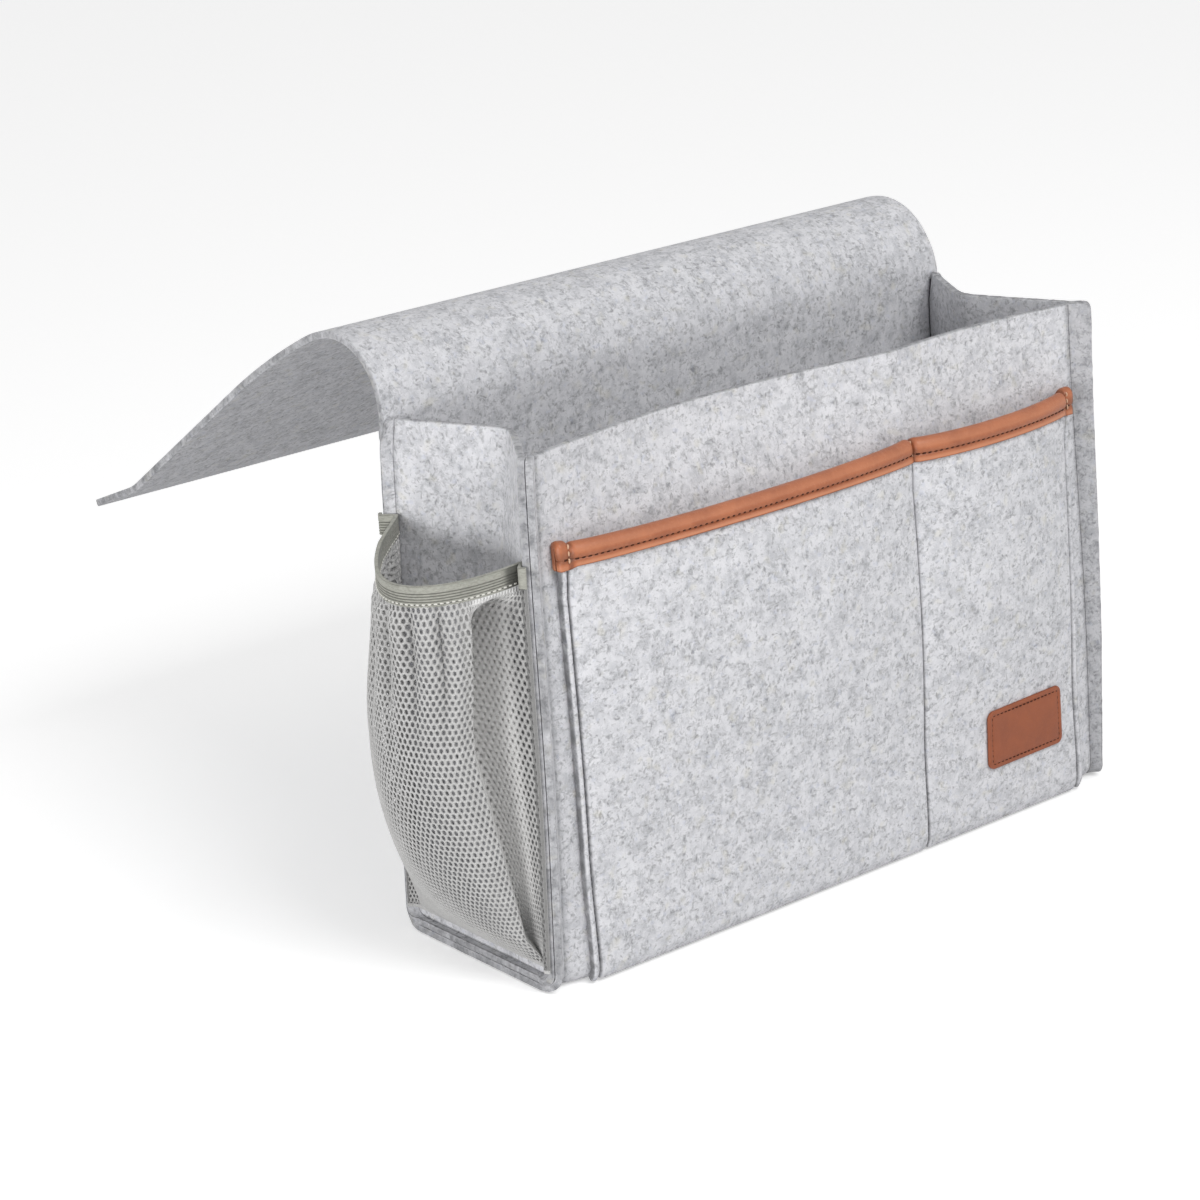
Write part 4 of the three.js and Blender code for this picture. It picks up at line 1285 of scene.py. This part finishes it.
def spline(controls):
    """A uniform spline through its control points."""
    p = np.asarray(controls, float)
    out = []
    for i in range(len(p) - 1):
        p1, p2 = p[i], p[i + 1]
        v0, v1 = (p2 - p[max(0, i - 1)]) / 2, (p[min(len(p) - 1, i + 2)] - p1) / 2
        cubic, square = 2 * p1 - 2 * p2 + v0 + v1, -3 * p1 + 3 * p2 - 2 * v0 - v1
        for t in np.linspace(0, 1, SPLINE_POINTS, endpoint=False):
            out.append(cubic * t ** 3 + square * t ** 2 + v0 * t + p1)
    out.append(p[-1])
    return np.array(out)


def pleat_slack(gusset, z):
    return float(ease((MESH_TOP - z) / PLEAT_GROWTH)) if gusset["pleated"] else 0.0


def loop_plan(gusset, z, across):
    """A pocket's outline seen from above, as [outward, toward the back] from its front seam.

    With a pleat the net goes back along the gusset, folds forward over itself to a crest and swells out.
    """
    swell = math.sin(math.pi / 2 * float(clamp01((z - MESH_BOTTOM) / SWELL_HEIGHT))) ** 0.73
    fullness, lead = (0.8, 1.6) if gusset["pleated"] else (0.9, 1.0)
    turn = math.pi * np.linspace(0, 1, 27) ** 1.6
    peak = gusset["reach"] * swell
    outward = peak * np.maximum(0, np.sin(turn)) ** fullness
    plain = evenly(spline(np.stack([outward, (turn / math.pi) ** lead * across], axis=1)), PLAN_POINTS)
    if not gusset["pleated"]:
        return plain
    size = float(clamp01((z + 12) / 119)) * float(ease((z - MESH_BOTTOM) / 14))
    lower = float(ease((MESH_TOP - z) / CREST_LENGTH))
    crest = np.array([lerp(a, b * size, lower) for a, b in zip(CREST_AT_TOP, CREST_BELOW)])
    recess = [(out * size, share * PLEAT_DEPTH * size) for out, share in RECESS]
    recess += [tuple(lerp(np.array(recess[-1]), crest, k)) for k in (0.36, 0.7, 0.92)] + [tuple(crest)]
    swollen = [tuple(crest)]
    for turn in np.array([0.2, 0.42, 0.66, 0.85]) * math.pi / 2:
        back = lerp(crest[1], 0.466 * across, 1 - math.cos(turn))
        swollen.append((lerp(crest[0], peak, math.sin(turn)), back))
    for turn in np.linspace(math.pi / 2, math.pi, 10):
        swollen.append((peak * max(0.0, math.sin(turn)) ** 0.5, (turn / math.pi) ** 1.1 * across))
    front = int(PLEAT_FRONT_SHARE * PLAN_POINTS)
    rest = PLAN_POINTS - front
    split = int(np.argmax(plain[:, 0] >= min(crest[0], 0.98 * plain[:, 0].max())))
    straight = evenly(plain[: split + 1] if split > 1 else [(0, 0), tuple(crest)], front)
    inward = lerp(straight, evenly(spline(recess), front), pleat_slack(gusset, z))
    return np.concatenate([inward, lerp(evenly(plain[split:], rest), evenly(spline(swollen), rest), lower)])


def gather_strength(z):
    below = MESH_TOP - z
    return (0.25 + 0.75 * ease(below / 8)) * (1 - ease(below / GATHER_LENGTH))


def puffs(share):
    """Rounded folds with a crease between each two."""
    return np.abs(np.sin(math.pi * GATHERS * share + 0.5 * np.sin(7 * share))) ** 0.7


def gather(share, z):
    """Soft folds under the band that fade out downwards and at both ends."""
    ends = ease(share / 0.08) * ease((1 - share) / 0.12)
    return GATHER * gather_strength(z) * (2 * puffs(share) - 1) * ends


def past_pleat(share):
    """A share of the row, counted from the pleat's crest."""
    return clamp01((share - PLEAT_FRONT_SHARE) / (1 - PLEAT_FRONT_SHARE))


def pocket_loop(gusset, z, clear, rise, count, is_net):
    """Points from the front seam to the back one. Only the net has gathers."""
    first = front_corner_y(z) + LOOP_INSET
    last = BACK_Y - LOOP_INSET
    plan = loop_plan(gusset, z, last - first)
    share = np.linspace(0, 1, len(plan))
    tangent = np.gradient(plan, axis=0)
    across = unit(np.stack([tangent[:, 1], -tangent[:, 0]], axis=1))
    ripple = gather(past_pleat(share), z) * clamp01(plan[:, 0] / 10) if is_net else 0
    y = first + plan[:, 1] + across[:, 1] * ripple
    near_back = lerp(1, ease((share - 0.5) / 0.2), pleat_slack(gusset, z))
    hugging = clamp01(1 - plan[:, 0] / HUG_REACH) * near_back
    inner = fold_in(gusset, y, z, first - HALF_FELT, last + HALF_FELT) * hugging
    out = clear - inner + plan[:, 0] + across[:, 0] * ripple
    runs = lengths_along(plan)
    zs = z + rise - rim_drop(runs / runs[-1], z)
    points = np.stack([gusset["side"] * (half_width(z) + out), y, zs], axis=1)
    at = np.linspace(0, PLAN_POINTS - 1, count)
    return np.stack([np.interp(at, np.arange(PLAN_POINTS), points[:, k]) for k in range(3)], axis=1)


def wrapped_edge(clear, width, wraps):
    """Steps along a seam for a pocket's end, which wraps round the seam's raw edge or stops on it."""
    tip = gusset_edge(SEAM_ANGLE, width)[-1]
    c, s = math.cos(SEAM_ANGLE), math.sin(SEAM_ANGLE)
    beyond = clear - HALF_FELT

    def place(along, off):
        return tip[0] + c * along + s * off, tip[1] + s * along - c * off

    if not wraps:
        return [place(-lerp(EDGE_INSET, WRAP_LENGTH, k), clear) for k in (0, 0.3, 0.6, 1.0)]
    r = min(1.0, beyond + 0.3)
    path = [place(beyond, HALF_FELT - LAYER_STEP / 2), place(beyond, clear - r)]
    for t in np.linspace(0, math.pi / 2, 5)[1:]:
        path.append(place(beyond - r * (1 - math.cos(t)), clear - r + r * math.sin(t)))
    return path + [place(lerp(beyond - r, -WRAP_LENGTH, k), clear) for k in (0.5, 1.0)]


def pocket_row(gusset, z, clear, rise, count, is_net):
    """A row's front end, loop and back end. The net's back end is caught in the seam and doesn't wrap."""
    side = gusset["side"]

    def edge(at, share):
        wraps = gusset["wraps"] and not (is_net and share == 1)
        steps = wrapped_edge(clear, seam_width(side, at), wraps)
        points = np.array([edge_point(side, at, step) for step in steps])
        points[:, 2] += rise - rim_drop(share, z)
        return points

    loop = pocket_loop(gusset, z, clear, rise, count, is_net)
    return edge(front_station(z), 0), loop, edge(back_station(z), 1)[::-1]


def net_row(gusset, z):
    low = min(z, MESH_TOP)
    return pocket_row(gusset, low, NET_CLEAR, z - low, LOOP_POINTS, True)


def bilinear(grid, u, v):
    """Points of a grid at any place between its own."""
    rows, columns = grid.shape[:2]
    u = np.clip(u, 0, columns - 1.0001)
    v = np.clip(v, 0, rows - 1.0001)
    i, j = np.floor(u).astype(int), np.floor(v).astype(int)
    fu, fv = (u - i)[:, None], (v - j)[:, None]
    low = grid[j, i] * (1 - fu) + grid[j, i + 1] * fu
    high = grid[j + 1, i] * (1 - fu) + grid[j + 1, i + 1] * fu
    return low * (1 - fv) + high * fv


def slackness(gusset, share, height):
    """1 where the net lies slack behind its pleat, 0 elsewhere."""
    if not gusset["pleated"]:
        return np.zeros_like(share)
    behind = ease((share - 0.07) / 0.03) * (1 - ease((share - 0.27) / 0.04))
    return behind * ease((height - 12) / 30)


def hole_size(gusset, share, height):
    """How open a hole is: less in the slack behind the pleat, more where the net is stretched."""
    closed = float(slackness(gusset, share, height))
    stretched = 0.84 + 0.3 * math.exp(-((share - 0.47) / 0.13) ** 2)
    return stretched * max(0.12, 1 - closed * RNG.uniform(0.5, 0.9)) * RNG.uniform(0.93, 1.04)


def hole_cell():
    """Outlines of one six-sided cell of the net and of the round hole in it, in pitches."""
    corner = 0.5 - (HOLE_PITCH / ROW_PITCH) ** 2 / 8
    upper = [(0.5, corner), (0.25, 0.5), (0, 1 - corner), (-0.25, 0.5), (-0.5, corner)]
    border = upper + [(-x, -y) for x, y in upper]
    wide, high = HOLE_HALF[0] / HOLE_PITCH, HOLE_HALF[1] / ROW_PITCH
    angles = [math.atan2(y / high, x / wide) for x, y in border]
    return border, [(wide * math.cos(angle), high * math.sin(angle)) for angle in angles]


def net_cells(gusset, columns, rows):
    """The net's points, as [across, up, layer] in pitches, and its faces."""
    border, hole = hole_cell()
    keys, spots, faces = {}, [], []

    def spot(u, v, layer):
        key = (round(u * 100), round(v * 100), layer)
        if key not in keys:
            keys[key] = len(spots)
            spots.append((u, v, layer))
        return keys[key]

    for r in range(1, rows + 1):
        for c in range(columns + 1):
            across = c + 0.5 * (r % 2)
            if across < 0.5 or across > columns - 0.5:
                continue
            size = hole_size(gusset, across / columns, r * ROW_PITCH)
            ring = [spot(across + x * size, r + y * size, 0) for x, y in hole]
            for layer in (1, -1):
                outer = [spot(across + x, r + y, layer) for x, y in border]
                for k in range(len(border)):
                    n = (k + 1) % len(border)
                    face = [ring[k], outer[k], outer[n], ring[n]]
                    faces.append(face if layer * gusset["side"] < 0 else face[::-1])
    return np.array(spots), faces


def net_painted_light(gusset, share, height):
    """Painted shade at the front seam and in the creases, painted light where the net lies slack."""
    points = LOOP_POINTS + 2 * WRAP_POINTS
    main = past_pleat((share * (points - 1) - WRAP_POINTS) / LOOP_POINTS)
    crease = (1 - puffs(main)) ** 1.5 * gather_strength(MESH_BOTTOM + height) * (main > 0.02)
    at_seam = 1 - ease((share - 0.02) / 0.012)
    return 0.7 * at_seam + 0.3 * crease - slackness(gusset, share, height)


def net(name):
    """The net with its holes, its lowest row of points, and its flat width and height."""
    gusset = GUSSETS[name]
    base = []
    for z in np.linspace(MESH_BOTTOM, MESH_TOP + 1.5, NET_ROWS):
        fore, loop, aft = net_row(gusset, z)
        front = evenly([*fore, loop[0]], WRAP_POINTS + 1)[:-1]
        base.append(np.concatenate([front, loop, evenly([loop[-1], *aft], WRAP_POINTS + 1)[1:]]))
    base = np.array(base)
    quads = grid_quads(*base.shape[:2], flip=gusset["side"] > 0)
    normals = quad_normals(grid_points(base), quads).reshape(base.shape)
    climb = lengths_along(np.array([row[np.argmax(np.abs(row[:, 0]))] for row in base])[:, [0, 2]])
    columns = round(np.percentile([lengths_along(row)[-1] for row in base], 80) / HOLE_PITCH)
    spots, faces = net_cells(gusset, columns, round(climb[-1] / ROW_PITCH))
    share = spots[:, 0] / columns
    height = spots[:, 1] * ROW_PITCH
    u = share * (base.shape[1] - 1)
    v = np.interp(np.clip(height, 0, climb[-1]), climb, np.arange(NET_ROWS))
    verts = bilinear(base, u, v) + unit(bilinear(normals, u, v)) * (spots[:, 2:3] * NET_HALF)
    skin = (verts, faces, net_painted_light(gusset, share, height))
    obj = caddy_piece(f"net_pocket_{name}", skin, NET_MAT, smooth=False)
    return obj, base[0], columns * HOLE_PITCH, climb[-1]


def net_hems(name, lowest_row):
    """The net's edges on both seams and along its foot."""
    gusset = GUSSETS[name]
    right = gusset["side"] > 0
    rows = [net_row(gusset, z) for z in spaced([MESH_BOTTOM, MESH_TOP + 1.0], 5.0)]
    edges = {"front": [fore[:2] for fore, _, _ in rows], "back": [aft[-2:] for _, _, aft in rows]}
    hems = []
    for end, grid in edges.items():
        # The hems get painted shade on both faces
        hems.append(strip(f"net_edge_{end}_{name}", np.array(grid), HEM_HALF, HEM_ROUNDING, NET_MAT,
                          right, painted_light_and_tone=HEM_SHADE, under=HEM_SHADE))
    foot = np.array([lowest_row + (0, 0, rise) for rise in (-0.6, 0.2, 1.0)])
    return [*hems, strip(f"net_hem_{name}", foot, 0.5, HEM_ROUNDING, NET_MAT, right)]


def elastic_band(name):
    """The band, ribbed below and smooth on top, with painted shade where it folds in beside the front seam.

    Gives the band and the line of its stitches with the outward normals there.
    """
    gusset = GUSSETS[name]
    right = gusset["side"] > 0
    rows = []
    for rise in np.linspace(GAP, GAP + ELASTIC_HEIGHT, BAND_LEVELS):
        rows.append(np.concatenate(pocket_row(gusset, MESH_TOP, BAND_CLEAR, rise, BAND_POINTS, False)))
    rows = np.array(rows)
    up = np.linspace(0, 1, BAND_LEVELS)
    ribbed = 1 - ease((up - 0.62) / 0.12)
    valley = ((1 - np.abs(np.sin(up * RIBS * math.pi))) ** 1.4 * ribbed)[:, None] * np.ones(rows.shape[1])
    folded = np.zeros(rows.shape[1])
    if gusset["wraps"]:
        ends = len(wrapped_edge(BAND_CLEAR, SEAM_WIDTH, True))
        runs = lengths_along(rows[0])
        past = runs - runs[rows.shape[1] - BAND_POINTS - ends - 1]
        valley = valley * ease(past / 0.6)
        # Painted shade in the fold beside the front seam, painted light on the wrapped end, painted shade in
        # the ribs' valleys
        folded = np.where(past < -0.2, -0.15, 1 - ease((past - 9) / 4))
    painted_light_and_tone = np.maximum(0.95 * valley, 0.85 * folded).ravel()
    # The band's inner face gets painted shade
    band = strip(f"elastic_band_{name}", rows, ELASTIC / 2, 0.35, ELASTIC_MAT, not right,
                 -RIB_DEPTH * valley, painted_light_and_tone, 0.3)
    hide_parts(f"elastic_{name}")
    normals = quad_normals(grid_points(rows), grid_quads(*rows.shape[:2], flip=right)).reshape(rows.shape)
    return band, rows[BAND_STITCH_LEVEL, 12:-6], normals[BAND_STITCH_LEVEL, 12:-6]


def side_pocket(name):
    mesh, lowest_row, width, height = net(name)
    hems = net_hems(name, lowest_row)
    band, line, outward = elastic_band(name)
    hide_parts(f"mesh_pouch_{name}")
    for face, sign in (("outer", 1), ("inner", -1)):
        places = along_path(line + sign * outward * (ELASTIC / 2), sign * outward, *BAND_STITCH)
        stitches(f"thread_band_{face}_{name}", "grey", places, BAND_THREAD)


for name in GUSSETS:
    side_pocket(name)


# Floor, light and camera. Places here are in metres
FLOOR_REACH = 6.0
FLOOR_DROP = 0.0004
FLOOR_GLOW = 0.42
WORLD_LIGHT = 0.52
LIGHT_TARGET = (0, 0, 0.12)


def seen_rays(tree):
    """1 for the rays that show the background, and 0 for those that light the object."""
    rays = node(tree, "ShaderNodeLightPath").outputs
    through = maths(tree, "MAXIMUM", rays["Is Glossy Ray"], rays["Is Transmission Ray"])
    return maths(tree, "MAXIMUM", rays["Is Camera Ray"], through)


def stage_floor():
    mesh = bpy.data.meshes.new("floor")
    far = FLOOR_REACH
    corners = [(-far, -far), (far, -far), (far, far), (-far, far)]
    mesh.from_pydata([(x, y, -FLOOR_DROP) for x, y in corners], [], [(0, 1, 2, 3)])
    mat, tree, shader = material(
        "floor", Base_Color=(0.82, 0.82, 0.82, 1), Roughness=0.9, Specular_IOR_Level=0.1,
        Emission_Color=(1, 1, 1, 1))
    put(tree, maths(tree, "MULTIPLY", seen_rays(tree), FLOOR_GLOW), shader.inputs["Emission Strength"])
    mesh.materials.append(mat)
    linked("floor", mesh)


def world_light():
    world = bpy.data.worlds.new("studio")
    bpy.context.scene.world = world
    world.use_nodes = True
    tree = world.node_tree
    back = tree.nodes["Background"]
    back.inputs["Color"].default_value = (1.0, 1.0, 1.0, 1)
    put(tree, span(tree, seen_rays(tree), 0, 1, WORLD_LIGHT, 1.0), back.inputs["Strength"])


def turned(right, up, back, place):
    """A matrix from three directions and a place."""
    return Matrix([[right[k], up[k], back[k], place[k]] for k in range(3)] + [[0, 0, 0, 1]])


def area_light(name, place, size, watts):
    data = bpy.data.lights.new(name, "AREA")
    data.shape = "RECTANGLE"
    data.size, data.size_y = size
    data.energy = watts
    obj = linked(name, data)
    back = unit(np.array(place) - np.array(LIGHT_TARGET))
    right = unit(np.cross((0, 0, 1), back))
    obj.matrix_world = turned(right, np.cross(back, right), back, place)


def camera():
    """The photograph's camera, solved from the box's edges."""
    data = bpy.data.cameras.new("camera")
    data.sensor_width = 36
    data.lens = 103.47
    obj = linked("camera", data)
    right = (0.773318, -0.631441, -0.05711)
    up = (0.247042, 0.217137, 0.944363)
    back = (-0.583909, -0.744401, 0.323908)
    obj.matrix_world = turned(right, up, back, (-0.951174, -1.098802, 0.620898))
    bpy.context.scene.camera = obj


stage_floor()
world_light()
area_light("key", (-0.05, -1.35, 1.5), (1.0, 1.0), 19.5)
area_light("side", (-1.7, -0.35, 0.2), (1.0, 0.3), 13)
camera()
bpy.context.scene.view_settings.view_transform = "Standard"
